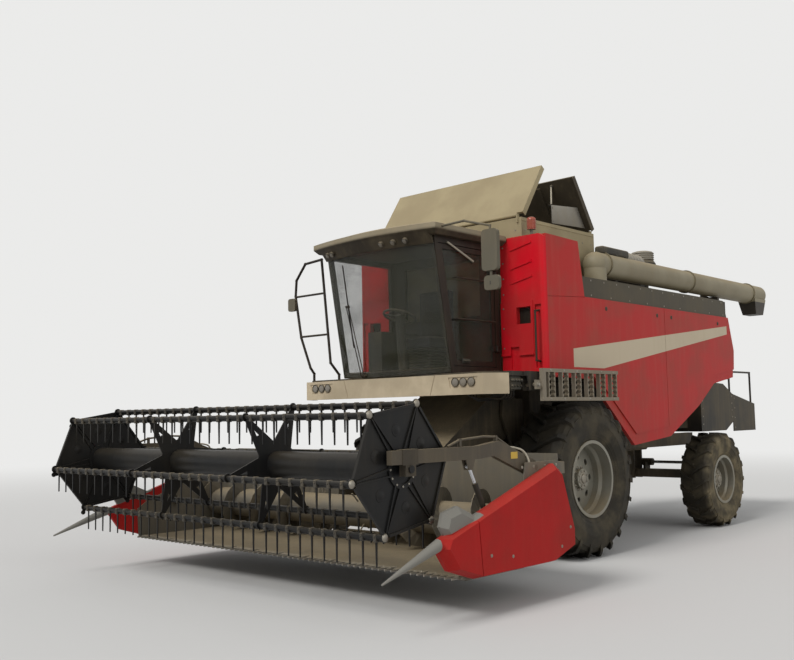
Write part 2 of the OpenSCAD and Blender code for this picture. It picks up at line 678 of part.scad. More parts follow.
module cab_shell() difference() {
    side_extrude(-cab_half, cab_half) polygon(cab_outline);
    side_extrude(-cab_half + cab_wall, cab_half - cab_wall) polygon([[cab_back_y - cab_wall,
        cab_floor_z + cab_wall], [-screen_foot_y - 400, cab_floor_z + cab_wall],
        [-screen_foot_y - 400, cab_top_z + 1], [cab_back_y - cab_wall, cab_top_z + 1]]);
    side_extrude(cab_half - cab_wall - 1, cab_half + 1) polygon(door_outline);
    side_extrude(-cab_half - 1, -cab_half + cab_wall + 1) polygon(door_outline);
    block([-600, cab_back_y - cab_wall - 1, cab_floor_z + 700], [600, cab_back_y + 1, cab_top_z - 120]);
}

module cab_door() color("darkslategray") {
    difference() {
        side_extrude(cab_half - cab_wall, cab_half - 6) offset(delta = -run_gap) polygon(door_outline);
        side_extrude(cab_half - cab_wall - 1,
            cab_half + 1) offset(delta = -run_gap - 55) polygon(door_outline);
    }
    for (z = hinge_zs) difference() {
        union() {
            translate([hinge_x, door_y1, z - 30]) cylinder(d = 28, h = 60);
            block([cab_half - 8, door_y1 - 75, z - 30], [hinge_x, door_y1 - 6, z + 30]);
        }
        translate([hinge_x, door_y1, z - 31]) cylinder(d = hinge_pin_d + 2 * shaft_gap, h = 62);
    }
    for (z = [2720, 3180]) {
        for (y = [door_y0 + 20, door_y1 - 60]) bar_x(18, cab_half - 10, cab_half + 50, y, z);
        bar([cab_half + 42, door_y0 + 12, z], [cab_half + 42, door_y1 - 52, z], 20);
    }
}

module door_glass() color("lightblue", 0.4)
    side_extrude(cab_half - 30, cab_half - 30 + glass_t) offset(delta = -run_gap - 55 - seat_gap)
        polygon(door_outline);

// Plan bowed forward between its corners at y = 0, and reaching back to depth
module bow_front(half, bow, depth) {
    r = (half ^ 2 + bow ^ 2) / (2 * bow);
    a = asin(half / r);
    polygon(concat(arc([0, r - bow], r, 270 + a, 270 - a, 12), [[-half, depth], [half, depth]]));
}

// Stands its child on the cab's floor, in the leaning plane of the windscreen
module at_screen(z) {
    translate([0, -screen_foot_y - 14, cab_floor_z + 6]) rotate([lean_angle, 0, 0]) translate([0, 0,
        z]) children();
}

screen_h = (cab_top_z - cab_floor_z - 12) / cos(lean_angle);

module windscreen() at_screen(0) linear_extrude(screen_h) difference() {
    bow_front(cab_half - 10, screen_bow, 40);
    translate([0, glass_t]) bow_front(cab_half, screen_bow, 50);
}

// Curved rails behind the glass, at the floor and below the roof
module screen_rails() for (z = [0, screen_h - cab_wall - 8])
    at_screen(z) linear_extrude(cab_wall) translate([0, glass_t + seat_gap]) bow_front(cab_half - 10,
        screen_bow, 60);

module cab_glass() color("lightblue", 0.4) {
    windscreen();
    side_extrude(-cab_half + 30 - glass_t, -cab_half + 30) offset(delta = -seat_gap) polygon(door_outline);
    block([-600 + seat_gap, cab_back_y - 30, cab_floor_z + 700 + seat_gap],
        [600 - seat_gap, cab_back_y - 30 + glass_t, cab_top_z - 120 - seat_gap]);
}

roof_front_y = screen_top_y - 110;
roof_side = 120;
roof_bow = 130;
visor_drop = 90;

// Roof outline in plan, bowed at its front; inset draws it smaller
module roof_outline(inset) {
    translate([0, roof_front_y + inset]) bow_front(cab_half + roof_side - inset, roof_bow,
        cab_back_y - roof_front_y - 1.5 * inset);
}

// Turns its child to face out of the slanted visor, at x along it
module at_visor(x) {
    translate([x, roof_front_y - roof_bow + 62 + roof_bow * (x / (cab_half + roof_side)) ^ 2,
        cab_top_z - visor_drop / 2 + 8])
        rotate([130, 0, 0]) children();
}

roof_lamp_d = 64;
roof_lamp_xs = [-720, -630, 220, 390, 550];

module cab_roof() color("tan") difference() {
    union() {
        hull() {
            translate([0, 0, cab_top_z + seat_gap]) linear_extrude(10) roof_outline(45);
            translate([0, 0, cab_top_z + 50]) linear_extrude(roof_t - 70) roof_outline(0);
            translate([0, 0, cab_top_z + roof_t]) linear_extrude(30) roof_outline(150);
        }
        hull() for (q = [[cab_top_z + 20, 26], [cab_top_z - visor_drop, 104]]) translate([0, 0, q[0]])
            linear_extrude(1) intersection() {
                roof_outline(q[1]);
                translate([-cab_half, -5000]) square([cab_w, 5000 + screen_top_y + 60]);
            }
    }
    difference() {
        at_screen(-200) linear_extrude(screen_h + 212) translate([0, -seat_gap]) bow_front(cab_half + 60,
            screen_bow, 1200);
        translate([0, 0, cab_top_z + seat_gap]) linear_extrude(400) square(9000, center = true);
    }
    for (x = roof_lamp_xs) at_visor(x) translate([0, 0, -12]) cylinder(d = roof_lamp_d + 2 * seat_gap,
        h = 60);
}

module operator_seat() color("dimgray") {
    z = cab_floor_z + cab_wall + seat_gap;
    block([-200, -1250, z], [200, -900, z + 260]);
    block([-260, -1330, z + 260], [260, -860, z + 400]);
    block([-240, -930, z + 400], [240, -820, z + 1000]);
}

module steering_console() color("dimgray") {
    z = cab_floor_z + cab_wall + seat_gap;
    bar([0, -1500, z + 4], [0, -1545, z + 636], 110);
    translate([0, -1550, z + 640]) rotate([-20, 0, 0]) rotate_extrude() translate([190, 0]) circle(d = 30);
    translate([0, -1553, z + 632]) rotate([-20, 0, 0]) cylinder(d = 70, h = 30);
    for (a = [90, 210, 330]) translate([0, -1550, z + 640]) rotate([-20, 0, 0]) rotate(a)
        block([20, -15, -6], [185, 15, 6]);
    block([-620, -1450, z], [-400, -800, z + 500]);
}

platform_half = platform_w / 2;
fascia_half = platform_half - 20;
fascia_back_y = -fascia_y + 250;
fascia_z1 = 2100;
fascia_end = 150;
fascia_t = 60;

// Right half of the fascia's plan, from its rear end round its chamfered corner: t is the depth behind its
// face
function fascia_side(t) = [[fascia_half - 1.15 * t, fascia_back_y],
    [fascia_half - fascia_end - 0.6 * t, -fascia_y + t]];
function mirrored(points) = [for (i = [len(points) - 1 : -1 : 0]) [-points[i].x, points[i].y]];

module operator_platform() color("gray") {
    deck_back_y = -front_wall_y - front_wall_t - 5;
    corner = fascia_side(fascia_t + 3 * seat_gap);
    translate([0, 0, deck_z - 50]) linear_extrude(50) polygon(concat([[platform_half, deck_back_y],
        [platform_half, fascia_back_y + seat_gap], corner[0] + [0, seat_gap], corner[1]], mirrored(corner),
        [[-platform_half + 60, fascia_back_y + seat_gap], [-platform_half + 60, deck_back_y]]));
    both_sides() {
        block([thresher_half - 75, -fascia_y + 80, 1990], [thresher_half, -20 - seat_gap, deck_z - 49]);
        block([-1, -fascia_y + 80, 1990], [thresher_half, -fascia_y + 160, deck_z - 49]);
    }
    for (x = [platform_half - 60, platform_half + 30]) side_extrude(x, x + 16) difference() {
        polygon([[ladder_y - 120, deck_z - 10], [ladder_y + 120, deck_z - 10], [ladder_y + 60, ladder_z - 60],
            [ladder_y - 60, ladder_z - 60]]);
        translate([ladder_y, ladder_z]) circle(d = ladder_pin_d + 2 * shaft_gap);
    }
    block([platform_half - 61, ladder_y - 120, deck_z - 50], [platform_half + 46, ladder_y + 120, deck_z]);
}

lamp_d = 92;
lamp_xs = [1000, 1110, 1220];
beacon_x = 1300;

// Recess round the lamps at each end of the fascia, in (x, z)
lamp_recess = [[930, -62], [1265, -62], [1310, 52], [905, 52]];
groove_x = 640;

module front_fascia() color("wheat") difference() {
    translate([0, 0, fascia_z1 - fascia_h]) linear_extrude(fascia_h) difference() {
        polygon(concat(fascia_side(0), mirrored(fascia_side(0))));
        polygon(concat(fascia_side(fascia_t) + [[0, 1], [0, 0]],
            mirrored(fascia_side(fascia_t) + [[0, 1], [0, 0]])));
    }
    both_sides() {
        for (x = lamp_xs) translate([x, -fascia_y + 30, fascia_z1 - 85]) rotate([90, 0, 0])
            cylinder(d = lamp_d + 2 * seat_gap, h = 40);
        front_extrude(-fascia_y - 1, -fascia_y + 8) translate([0, fascia_z1 - 85]) polygon(lamp_recess);
        front_extrude(-fascia_y - 1, -fascia_y + 6) polygon([[groove_x, fascia_z1 - fascia_h - 1],
            [groove_x + seam_w, fascia_z1 - fascia_h - 1], [groove_x + 70 + seam_w, fascia_z1 + 1],
            [groove_x + 70, fascia_z1 + 1]]);
    }
}

module work_lamps() {
    color("white") for (s = [-1, 1], x = lamp_xs) translate([s * x, -fascia_y + 30 - seat_gap,
        fascia_z1 - 85])
        rotate([90, 0, 0]) cylinder(d = lamp_d, h = 28);
    color("white") for (x = roof_lamp_xs) at_visor(x) translate([0, 0, -12 + seat_gap])
        cylinder(d = roof_lamp_d, h = 26);
    color("orange") translate([beacon_x, -front_wall_y - front_wall_t / 2, front_top_z + seat_gap]) {
        cylinder(d = 40, h = 60);
        translate([0, 0, 60]) cylinder(d = 100, h = 130);
    }
}

module handrails() color("dimgray") {
    y = -1800;
    bent_tube([[-900, y + 120, deck_z + seat_gap], [-900, y + 120, deck_z + 60], [-920, y, deck_z + 200],
        [-1060, y, 3600], [-1360, y, 3580], [-1530, y, 3390], [-1550, y, 3190], [-1450, y, 2660],
        [-1350, y + 60, deck_z + 160], [-1350, y + 120, deck_z + 90], [-1350, y + 120, deck_z + seat_gap]],
        32);
    // Grab rail in the front wall's channel
    rail_x = channel_x + channel_w / 2;
    rail_y = wall_face_y + channel_d - 2;
    bent_tube([[rail_x, rail_y, channel_z[0] + 70], [rail_x, rail_y - 80, channel_z[0] + 80],
        [rail_x, rail_y - 80, channel_z[1] - 80], [rail_x, rail_y, channel_z[1] - 70]], 24);
    bar([-1020, y, 3180], [-1548, y, 3180], 26);
    bar([-965, y, 2670], [-1450, y, 2670], 26);
    // Rail over the spreader, its feet on the sloped tops of the hood and the spreader
    rail_ends = [hood_end_y - 20, spreader_end_y - 60];
    foot = [lookup(rail_ends[0] - 16, [[5000, 2080], [hood_end_y, 1920]]),
        lookup(rail_ends[1] - 16, [[hood_end_y, 1920], [spreader_end_y, 1760]])];
    translate([hood_w / 2 - 40, 0, 0]) bent_tube([[0, rail_ends[0], foot[0] + seat_gap],
        [0, rail_ends[0], 2280], [0, rail_ends[1], 2280], [0, rail_ends[1], foot[1] + seat_gap]], 32);
}

module mirrors() {
    color("gray") {
        front_extrude(-1960, -1910) rounded([1540, 3130], [1740, 3560], 45);
        front_extrude(-1955, -1915) rounded([1560, 2930], [1750, 3080], 40);
        front_extrude(-1850, -1816 - seat_gap) rounded([-1640, 3000], [-1510, 3160], 30);
        bent_tube([[cab_half + roof_side + 2, -1900, 3700], [1300, -1935, 3700], [1640, -1935, 3600],
            [1640, -1935, 2980]], 26);
    }
}

module auger_turret() color("gray") difference() {
    translate([auger_x, auger_pivot_y, rear_top_z + seat_gap]) cylinder(d = auger_tube_d - 20, h = turret_h);
    translate([auger_x, auger_pivot_y, rear_top_z + 5]) cylinder(d = spigot_d + 2 * shaft_gap, h = turret_h);
}
spigot_d = 220;
turret_h = auger_z - auger_tube_d / 2 - rear_top_z - 6;

// Moving pieces of the machine's body

cover_l = (front_wall_y + tank_back_y) / 2 - run_gap;
lip_t = 10;
lip_h = 55;

// A cover hinged at y, opening up over the tank; dir is the way it lies when closed
module tank_cover(y, dir) color("tan") translate([0, y, tank_rim_z + cover_t]) rotate([dir * cover_open, 0,
    0])
    mirror([0, dir > 0 ? 0 : 1, 0]) difference() {
        union() {
            block([-cover_lug_x, 0, -cover_t / 2], [cover_lug_x, 60, cover_t / 2]);
            block([-tank_rim_w / 2 - lip_t - run_gap, 32, -cover_t / 2],
                [tank_rim_w / 2 + lip_t + run_gap, cover_l, cover_t / 2]);
            both_sides() block([tank_rim_w / 2 + run_gap, 32, -lip_h],
                [tank_rim_w / 2 + run_gap + lip_t, cover_l, 0]);
            for (x = [-600, 0, 600]) block([x - 25, 120, -cover_t / 2 - 20], [x + 25, cover_l - 60, 0]);
            bar_x(36, -cover_lug_x, cover_lug_x, 0, 0);
        }
        both_sides() bar_x(cover_pin_d + 2 * shaft_gap, cover_lug_x - 60, cover_lug_x + 1, 0, 0);
    }

spout_l = 420;

module unloading_auger() color("darkkhaki") {
    translate([auger_x, auger_pivot_y, auger_z]) {
        rotate([-90, 0, 0]) cylinder(d = auger_tube_d, h = auger_l);
        sphere(d = auger_tube_d + 6);
    }
    translate([auger_x, auger_pivot_y, rear_top_z + 8]) cylinder(d = spigot_d, h = auger_z - rear_top_z);
    translate([auger_x, auger_pivot_y, rear_top_z + 2 * seat_gap + turret_h])
        cylinder(d = auger_tube_d - 20, h = auger_z - rear_top_z - turret_h);
    y1 = auger_pivot_y + auger_l;
    hull() {
        block([auger_x - 140, y1 - spout_l, auger_z - 100], [auger_x + 140, y1 - 4, auger_z - 80]);
        block([auger_x - 110, y1 - spout_l + 90, auger_z - 330], [auger_x + 110, y1 - 50, auger_z - 320]);
    }
}

ladder_y = -1180;
ladder_z = 1975;
ladder_x = platform_half + 90;
ladder_w = 350;
ladder_pin_d = 40;
ladder_treads = 6;
ladder_l = 1560;

tread_d = 120;
tread_teeth = 5;

// One edge of a tread with its grip teeth; the ladder is folded up, so the tread stands on end
module tread_edge(y, side) {
    z0 = ladder_z - ladder_w / 2 + 30;
    tooth = (ladder_w - 60) / tread_teeth;
    translate([ladder_x, 0, 0]) side_extrude(0, 50) polygon(concat([[y, z0], [y + 8, z0]],
        side > 0 ? [for (k = [0 : tread_teeth - 1], q = [[8, 0], [26, 0.5]]) [y + q.x,
        z0 + (k + q.y) * tooth]] : [], [[y + 8, z0 + tread_teeth * tooth], [y, z0 + tread_teeth * tooth]],
        side < 0 ? [for (k = [tread_teeth - 1 : -1 : 0], q = [[0, 1], [-18, 0.5]]) [y + q.x,
        z0 + (k + q.y) * tooth]] : []));
}

module ladder() color("gray") {
    for (z = [ladder_z - ladder_w / 2, ladder_z + ladder_w / 2 - 40])
        block([ladder_x, ladder_y + 60, z], [ladder_x + 50, ladder_y + 60 + ladder_l, z + 40]);
    for (i = [0 : ladder_treads - 1], e = [0, 1]) {
        y = ladder_y + 150 + i * (ladder_l - 250) / (ladder_treads - 1) + e * tread_d;
        tread_edge(y, e > 0 ? -1 : 1);
    }
    block([ladder_x, ladder_y + 50, ladder_z - ladder_w / 2], [ladder_x + 50, ladder_y + 100,
        ladder_z + ladder_w / 2]);
    block([ladder_x, ladder_y - 50, ladder_z - 50], [ladder_x + 16, ladder_y + 60, ladder_z + 50]);
    bar_x(ladder_pin_d, platform_half - 70, ladder_x + 1, ladder_y, ladder_z);
}

// Feeder house, header and lift cylinders

beam_w = 110;
mouth_y = -header_back_y + sheet_t + beam_w + seat_gap;
mouth_z0 = header_floor_z + 40;
mouth_z1 = 1040;
// Rise of the feeder's floor towards its pivot
feeder_slope = let (v = [-feeder_pivot_y - mouth_y, feeder_pivot_z - mouth_z0])
    tan(atan2(v.y, v.x) - asin(feeder_r / norm(v)));
function feeder_floor(y) = mouth_z0 + (y - mouth_y) * feeder_slope;
lift_x = 430;
lift_foot = [-190, 690];
lift_eye = [-1500, 565];
lift_pin_d = 46;
lift_barrel_l = 900;
lift_rod_l = 1060;

module feeder_outline(inset) {
    hull() {
        translate([-feeder_pivot_y, feeder_pivot_z]) circle(r = feeder_r - inset);
        polygon([[mouth_y, mouth_z0 + inset], [mouth_y, mouth_z1 - inset], [mouth_y + 1, mouth_z1 - inset],
            [mouth_y + 1, mouth_z0 + inset]]);
    }
}

module feeder_house() color("dimgray") difference() {
    half = feeder_w / 2;
    union() {
        difference() {
            side_extrude(-half, half) feeder_outline(0);
            difference() {
                side_extrude(-half + sheet_t, half - sheet_t) feeder_outline(sheet_t);
                block([-half, -feeder_pivot_y - 100, 1000], [half, 0, 2100]);
            }
            block([-half + sheet_t, mouth_y - 10, mouth_z0 + sheet_t],
                [half - sheet_t, mouth_y + 60, mouth_z1 - sheet_t]);
        }
        both_sides() for (x = [lift_x - lug_x - lug_t, lift_x + lug_x]) {
            side_extrude(x, x + lug_t) polygon([
                [lift_eye[0] - 60, feeder_floor(lift_eye[0] - 60) + sheet_t / 2],
                [lift_eye[0] - 45, lift_eye[1] - 40], [lift_eye[0] + 45, lift_eye[1] - 40],
                [lift_eye[0] + 160, feeder_floor(lift_eye[0] + 160) + sheet_t / 2]]);
            bar_x(lift_pin_d, x - 2, x + lug_t + 2, lift_eye[0], lift_eye[1]);
        }
    }
    bar_x(pivot_d + 2 * shaft_gap, -half - 1, -half + 60, -feeder_pivot_y, feeder_pivot_z);
    bar_x(pivot_d + 2 * shaft_gap, half - 60, half + 1, -feeder_pivot_y, feeder_pivot_z);
}

table_y = -knife_y + 70;
header_top_z = 1290;
skid_w = 120;
skid_h = 60;

// Outline of the header's sheet: the table, the trough round the auger and the back, in (y, z)
function trough_path(inset) = concat([[table_y, header_floor_z - inset]],
    arc([-auger_axis_y, auger_axis_z], trough_r + inset, 270, 360, 8),
    [[-header_back_y + inset, header_top_z]]);

module header_frame() color("gray") {
    in_path = trough_path(0);
    out_path = trough_path(sheet_t);
    difference() {
        side_extrude(-end_sheet_x, end_sheet_x) polygon(concat(in_path,
            [for (i = [len(out_path) - 1 : -1 : 0]) out_path[i]]));
        block([-feeder_w / 2 + 20, -header_back_y - 150, mouth_z0 + 20],
            [feeder_w / 2 - 20, -header_back_y + 50, mouth_z1 - 20]);
    }
    y0 = -header_back_y + sheet_t - 0.5;
    block([-end_sheet_x, y0, header_top_z - 190], [end_sheet_x, y0 + beam_w, header_top_z - 80]);
    block([-end_sheet_x, y0, header_floor_z + 60], [-feeder_w / 2 - 60, y0 + beam_w, header_floor_z + 150]);
    block([feeder_w / 2 + 60, y0, header_floor_z + 60], [end_sheet_x, y0 + beam_w, header_floor_z + 150]);
    block([-feeder_w / 2 - 61, y0, header_floor_z - 60], [feeder_w / 2 + 61, y0 + beam_w, mouth_z0 + 10]);
    both_sides() {
        for (x = [feeder_w / 2 + 240, end_sheet_x - 260]) side_extrude(x, x + skid_w) polygon([
            [table_y + 20, header_floor_z - sheet_t + 1], [table_y + 120, header_floor_z - skid_h],
            [-auger_axis_y - 60, header_floor_z - skid_h], [-auger_axis_y + 60,
            header_floor_z - sheet_t + 6]]);
        for (x = [feeder_w / 2 + 340, end_sheet_x - 420]) side_extrude(x, x + 40) polygon([
            [y0, header_floor_z + 149], [y0 + beam_w - 10, header_floor_z + 149],
            [y0 + beam_w - 60, header_top_z - 189], [y0, header_top_z - 189]]);
        block([feeder_w / 2 - 10, y0, header_floor_z - 60], [feeder_w / 2 + 80, y0 + beam_w,
            header_top_z - 81]);
        difference() {
            side_extrude(end_sheet_x - 1, end_sheet_x + sheet_t) polygon([[-1990, 450],
                [-2060, header_top_z - 60],
                [-2560, header_top_z - 60], [-2620, 1000], [-3380, 720], [-3500, 640],
                [-3480, header_floor_z - 10], [-2100, header_floor_z - 10]]);
            bar_x(auger_shaft_d + 2 * shaft_gap, end_sheet_x - 2, end_sheet_x + 50, -auger_axis_y,
                auger_axis_z);
            bar_x(arm_pin_d + 2 * shaft_gap, end_sheet_x - 2, end_sheet_x + 50, -arm_pivot_y, arm_pivot_z);
            bar_x(reel_lift_pin_d + 2 * shaft_gap, end_sheet_x - 2, end_sheet_x + 50, reel_lift_foot[0],
                reel_lift_foot[1]);
        }
    }
}

auger_shaft_d = 60;
arm_pin_d = 50;
flight_pitch = 500;
flight_t = 10;
flight_steps = 20;

module header_auger() color("darkgray") translate([0, -auger_axis_y, auger_axis_z]) {
    drum_half = end_sheet_x - 25;
    rotate([0, 90, 0]) translate([0, 0, -drum_half]) cylinder(d = drum_d, h = 2 * drum_half);
    rotate([0, 90, 0]) translate([0, 0, -end_sheet_x - sheet_t]) cylinder(d = auger_shaft_d,
        h = 2 * end_sheet_x + 2 * sheet_t);
    both_sides() rotate([0, 90, 0]) flight(feeder_w / 2 - 60, drum_half);
    for (i = [0 : 11]) rotate([i * 90 + (i > 5 ? 45 : 0), 0, 0]) translate([(i - 5.5) * 85, 0,
        drum_d / 2 - 10])
        cylinder(d = 16, h = flight_r - drum_d / 2 - 5);
}

// Helical flight from z0 to z1 along its own axis
module flight(z0, z1) {
    steps = round(flight_steps * (z1 - z0) / flight_pitch);
    ri = drum_d / 2 - 3;
    ring_loft([for (k = [0 : steps]) let (z = z0 + (z1 - z0 - flight_t) * k / steps,
        a = 360 * (z - z0) / flight_pitch)
        [for (q = [[ri, 0], [flight_r, 0], [flight_r, flight_t], [ri, flight_t]]) [q.x * cos(a),
        q.x * sin(a), z + q.y]]], false);
}

// End panel's outline from its rear top corner round to the crease above the knife, in (y, z)
panel_edge = [[-2190, 1205], [-2090, 1140], [-1900, 600], [-1900, 440], [-2260, 325], [-3400, 325],
    [-3720, 425], [-3860, 610], [-3815, 690], [-3400, 800]];
divider_base = [[-3800, 780], [-3760, 890], [-3580, 930], [-3280, 800], [-3400, 600], [-3700, 640]];
nose_seam_y = -3390;
seam_w = 8;

// Moulded end panels with their noses, and the divider cones with their bright bases
module header_ends() both_sides() {
    x0 = end_sheet_x + sheet_t + seat_gap;
    color("crimson") difference() {
        hull() {
            side_extrude(x0, x0 + 40) polygon(panel_edge);
            side_extrude(header_half - 10, header_half) translate([-2900, 620]) scale(0.92) translate([2900,
                -620])
                polygon(panel_edge);
        }
        side_extrude(header_half - 14, header_half + 1) polygon([[nose_seam_y - 25, 830],
            [nose_seam_y - 25 + seam_w, 830], [nose_seam_y + 25 + seam_w, 300], [nose_seam_y + 25, 300]]);
    }
    color("silver") hull() {
        side_extrude(x0, x0 + 30) polygon(divider_base);
        side_extrude(x0 + 60, x0 + 75) translate([-3560, 700]) scale(0.75) translate([3560,
            -700]) polygon(divider_base);
    }
    color("silver") bar_cone([x0 + 55, -3846 - seat_gap, 650], [x0 + 55, -4500, 430], 50, 8);
}

// Cone between two points
module bar_cone(p, q, r0, r1) {
    v = q - p;
    translate(p) rotate([0, acos(v.z / norm(v)), atan2(v.y, v.x)]) cylinder(r1 = r0, r2 = r1, h = norm(v));
}

module cutterbar() color("silver") {
    half = end_sheet_x - 6;
    n = floor(2 * half / guard_pitch);
    y = table_y - seat_gap;
    translate([0, 0, header_floor_z - sheet_t]) linear_extrude(16) polygon(concat(
        [[half, y], [-half, y], [-half, y - 60]],
        [for (i = [0 : n - 1], p = [[-14, -60], [-7, -150], [7, -150], [14, -60]])
        [(i - (n - 1) / 2) * guard_pitch + p.x, y + p.y]], [[half, y - 60]]));
    translate([0, 0, header_floor_z - sheet_t + 15]) linear_extrude(4) polygon(concat([[half, y - 20],
        [-half, y - 20]],
        [for (i = [0 : n - 1], p = [[-guard_pitch / 2 + 3, -58], [0, -125], [guard_pitch / 2 - 3, -58]])
        [(i - (n - 1) / 2) * guard_pitch + p.x, y + p.y]]));
}

reel_lift_foot = [-3000, 690];
reel_lift_eye = [-3290, 1235];
reel_lift_pin_d = 30;
reel_lift_eye_w = 28;
reel_lift_barrel_l = 450;
reel_lift_rod_l = 485;

// A cylinder's barrel from its foot towards its eye, in (y, z), with a pin through its foot from x0 to x1
module ram_barrel(foot, eye, x, d, l, rod_d, eye_w, pin_d, pin_x) {
    a = atan2(eye[1] - foot[1], eye[0] - foot[0]);
    neck = 1.5 * pin_d;
    translate([x, foot[0], foot[1]]) rotate([a, 0, 0]) {
        difference() {
            translate([0, neck, 0]) rotate([-90, 0, 0]) cylinder(d = d, h = l - neck);
            translate([0, neck + 15, 0]) rotate([-90, 0, 0]) cylinder(d = rod_d + 2 * shaft_gap, h = l);
        }
        bar_x(pin_d * 1.9, -eye_w / 2, eye_w / 2, 0, 0);
        block([-eye_w / 2, 0, -pin_d * 0.6], [eye_w / 2, neck + 10, pin_d * 0.6]);
        bar_x(pin_d, pin_x[0], pin_x[1], 0, 0);
    }
}

module ram_rod(foot, eye, x, d, l, eye_w, pin_d) {
    a = atan2(eye[1] - foot[1], eye[0] - foot[0]);
    s = norm(eye - foot);
    translate([x, foot[0], foot[1]]) rotate([a, 0, 0]) {
        translate([0, s - l, 0]) rotate([-90, 0, 0]) cylinder(d = d, h = l - 0.8 * pin_d);
        bar_x(pin_d * 1.9, -eye_w / 2, eye_w / 2, s, 0);
    }
}

lug_x = 30;
lug_t = 20;
lift_eye_w = 2 * lug_x - 6;
lift_pin_x = [-lug_x - lug_t, lug_x + lug_t];
reel_pin_x = [-12, end_sheet_x + sheet_t - arm_x];

module lift_barrels() both_sides() color("dimgray")
    ram_barrel(lift_foot, lift_eye, lift_x, 90, lift_barrel_l, 56, lift_eye_w, lift_pin_d, lift_pin_x);
module lift_rods() both_sides() color("silver")
    ram_rod(lift_foot, lift_eye, lift_x, 56, lift_rod_l, lift_eye_w, lift_pin_d);
module reel_lift_barrels() both_sides() color("dimgray")
    ram_barrel(reel_lift_foot, reel_lift_eye, arm_x, 50, reel_lift_barrel_l, 30, reel_lift_eye_w,
        reel_lift_pin_d, reel_pin_x);
module reel_lift_rods() both_sides() color("silver")
    ram_rod(reel_lift_foot, reel_lift_eye, arm_x, 30, reel_lift_rod_l, reel_lift_eye_w, reel_lift_pin_d);

// Reel

arm_z = 1345;
arm_h = 110;
// Where an arm bends down, clear of the carrier at the end of its slide
arm_bend_y = -reel_y + reel_slide + 550;
// Oil line that runs along the top of an arm
arm_line_d = 22;
arm_line = [for (q = [[-3560, 62], [-3400, 112], [-3080, 132], [-2900, 124], [-2700, 28]])
    [arm_x, q[0], arm_z + q[1]]];

module reel_arms() both_sides() color("gray") {
    side_extrude(arm_x - arm_w / 2, arm_x + arm_w / 2) polygon([[-reel_y - 210, arm_z - arm_h / 2],
        [arm_bend_y, arm_z - arm_h / 2], [-2960, arm_z - 40], [-2460, arm_pivot_z - 60],
        [-2330, arm_pivot_z - 20],
        [-2340, arm_pivot_z + 60], [-2880, arm_z + 90], [arm_bend_y, arm_z + arm_h / 2],
        [-reel_y - 210, arm_z + arm_h / 2]]);
    bar_x(arm_pin_d, arm_x, end_sheet_x + sheet_t, -arm_pivot_y, arm_pivot_z);
    bent_tube(arm_line, arm_line_d);
    for (p = [arm_line[1], arm_line[3]]) block([arm_x - 14, p.y - 12, arm_z + arm_h / 2 - 26],
        [arm_x + 14, p.y + 12, p.z + 12]);
    for (x = [arm_x - arm_w / 2, arm_x + arm_w / 2 - 10]) {
        side_extrude(x, x + 10) polygon([[reel_lift_eye[0] - 60, arm_z - arm_h / 2 + 1],
            [reel_lift_eye[0] - 25, reel_lift_eye[1] - 32], [reel_lift_eye[0] + 25, reel_lift_eye[1] - 32],
            [reel_lift_eye[0] + 60, arm_z - arm_h / 2 + 1]]);
        bar_x(reel_lift_pin_d, x - 1, x + 11, reel_lift_eye[0], reel_lift_eye[1]);
    }
}

reel_shaft_d = 60;

module reel_carrier() {
    w = arm_w / 2 + sleeve_gap + sleeve_t;
    difference() {
        union() {
            block([arm_x - w, -reel_y - 90, arm_z - arm_h / 2 - sleeve_gap - sleeve_t],
                [arm_x + w, -reel_y + 90, arm_z + arm_h / 2 + sleeve_gap + sleeve_t]);
            block([arm_x - w, -reel_y - 60, reel_z - 55], [arm_x + w, -reel_y + 60, arm_z - arm_h / 2]);
            children();
        }
        block([arm_x - arm_w / 2 - sleeve_gap, -reel_y - 91, arm_z - arm_h / 2 - sleeve_gap],
            [arm_x + arm_w / 2 + sleeve_gap, -reel_y + 91, arm_z + arm_h / 2 + sleeve_gap]);
        bar_x(reel_shaft_d + 2 * shaft_gap, arm_x - 200, arm_x + 100, -reel_y, reel_z);
    }
}

// Sleeves that slide on the arms and carry the reel's shaft; the right one has the ring's offset boss
module reel_carriers() color("dimgray") {
    reel_carrier();
    mirror([1, 0, 0]) reel_carrier() {
        w = arm_w / 2 + sleeve_gap + sleeve_t;
        bar_x(2 * (ring_bore_r - shaft_gap), crank_x + crank_t + 5, arm_x - w + 1, -reel_y, reel_z - crank_l);
        bar_x(2 * ring_bore_r + 30, arm_x - w - 5, arm_x - w + 15, -reel_y, reel_z - crank_l);
    }
}

function bat_angle(i) = 180 - reel_turn - i * 60;
function bat_pos(i) = [-reel_y + reel_r * cos(bat_angle(i)), reel_z + reel_r * sin(bat_angle(i))];

bay = (reel_w - 20) / 3;
spider_xs = [-reel_w / 2 + 10, -reel_w / 2 + 10 + bay, reel_w / 2 - 10 - bay, reel_w / 2 - 10];
spider_t = 12;
bat_eye_d = bat_d + 34;

spider_root = 150;
spider_arm_w = 34;
plate_rib_h = 14;

// Lays an outline about the reel's axis, with a bat along its x
module about_reel() {
    translate([-reel_y, reel_z]) rotate(180 - reel_turn) children();
}

// Two straight arms that run together from the middle tube to a bat
module v_arm() difference() {
    polygon([[0, -spider_root], [reel_r, -spider_arm_w / 2], [reel_r, spider_arm_w / 2], [0, spider_root]]);
    polygon([[0, -spider_root + 2 * spider_arm_w], [reel_r - 4 * spider_arm_w, 0],
        [0, spider_root - 2 * spider_arm_w]]);
}

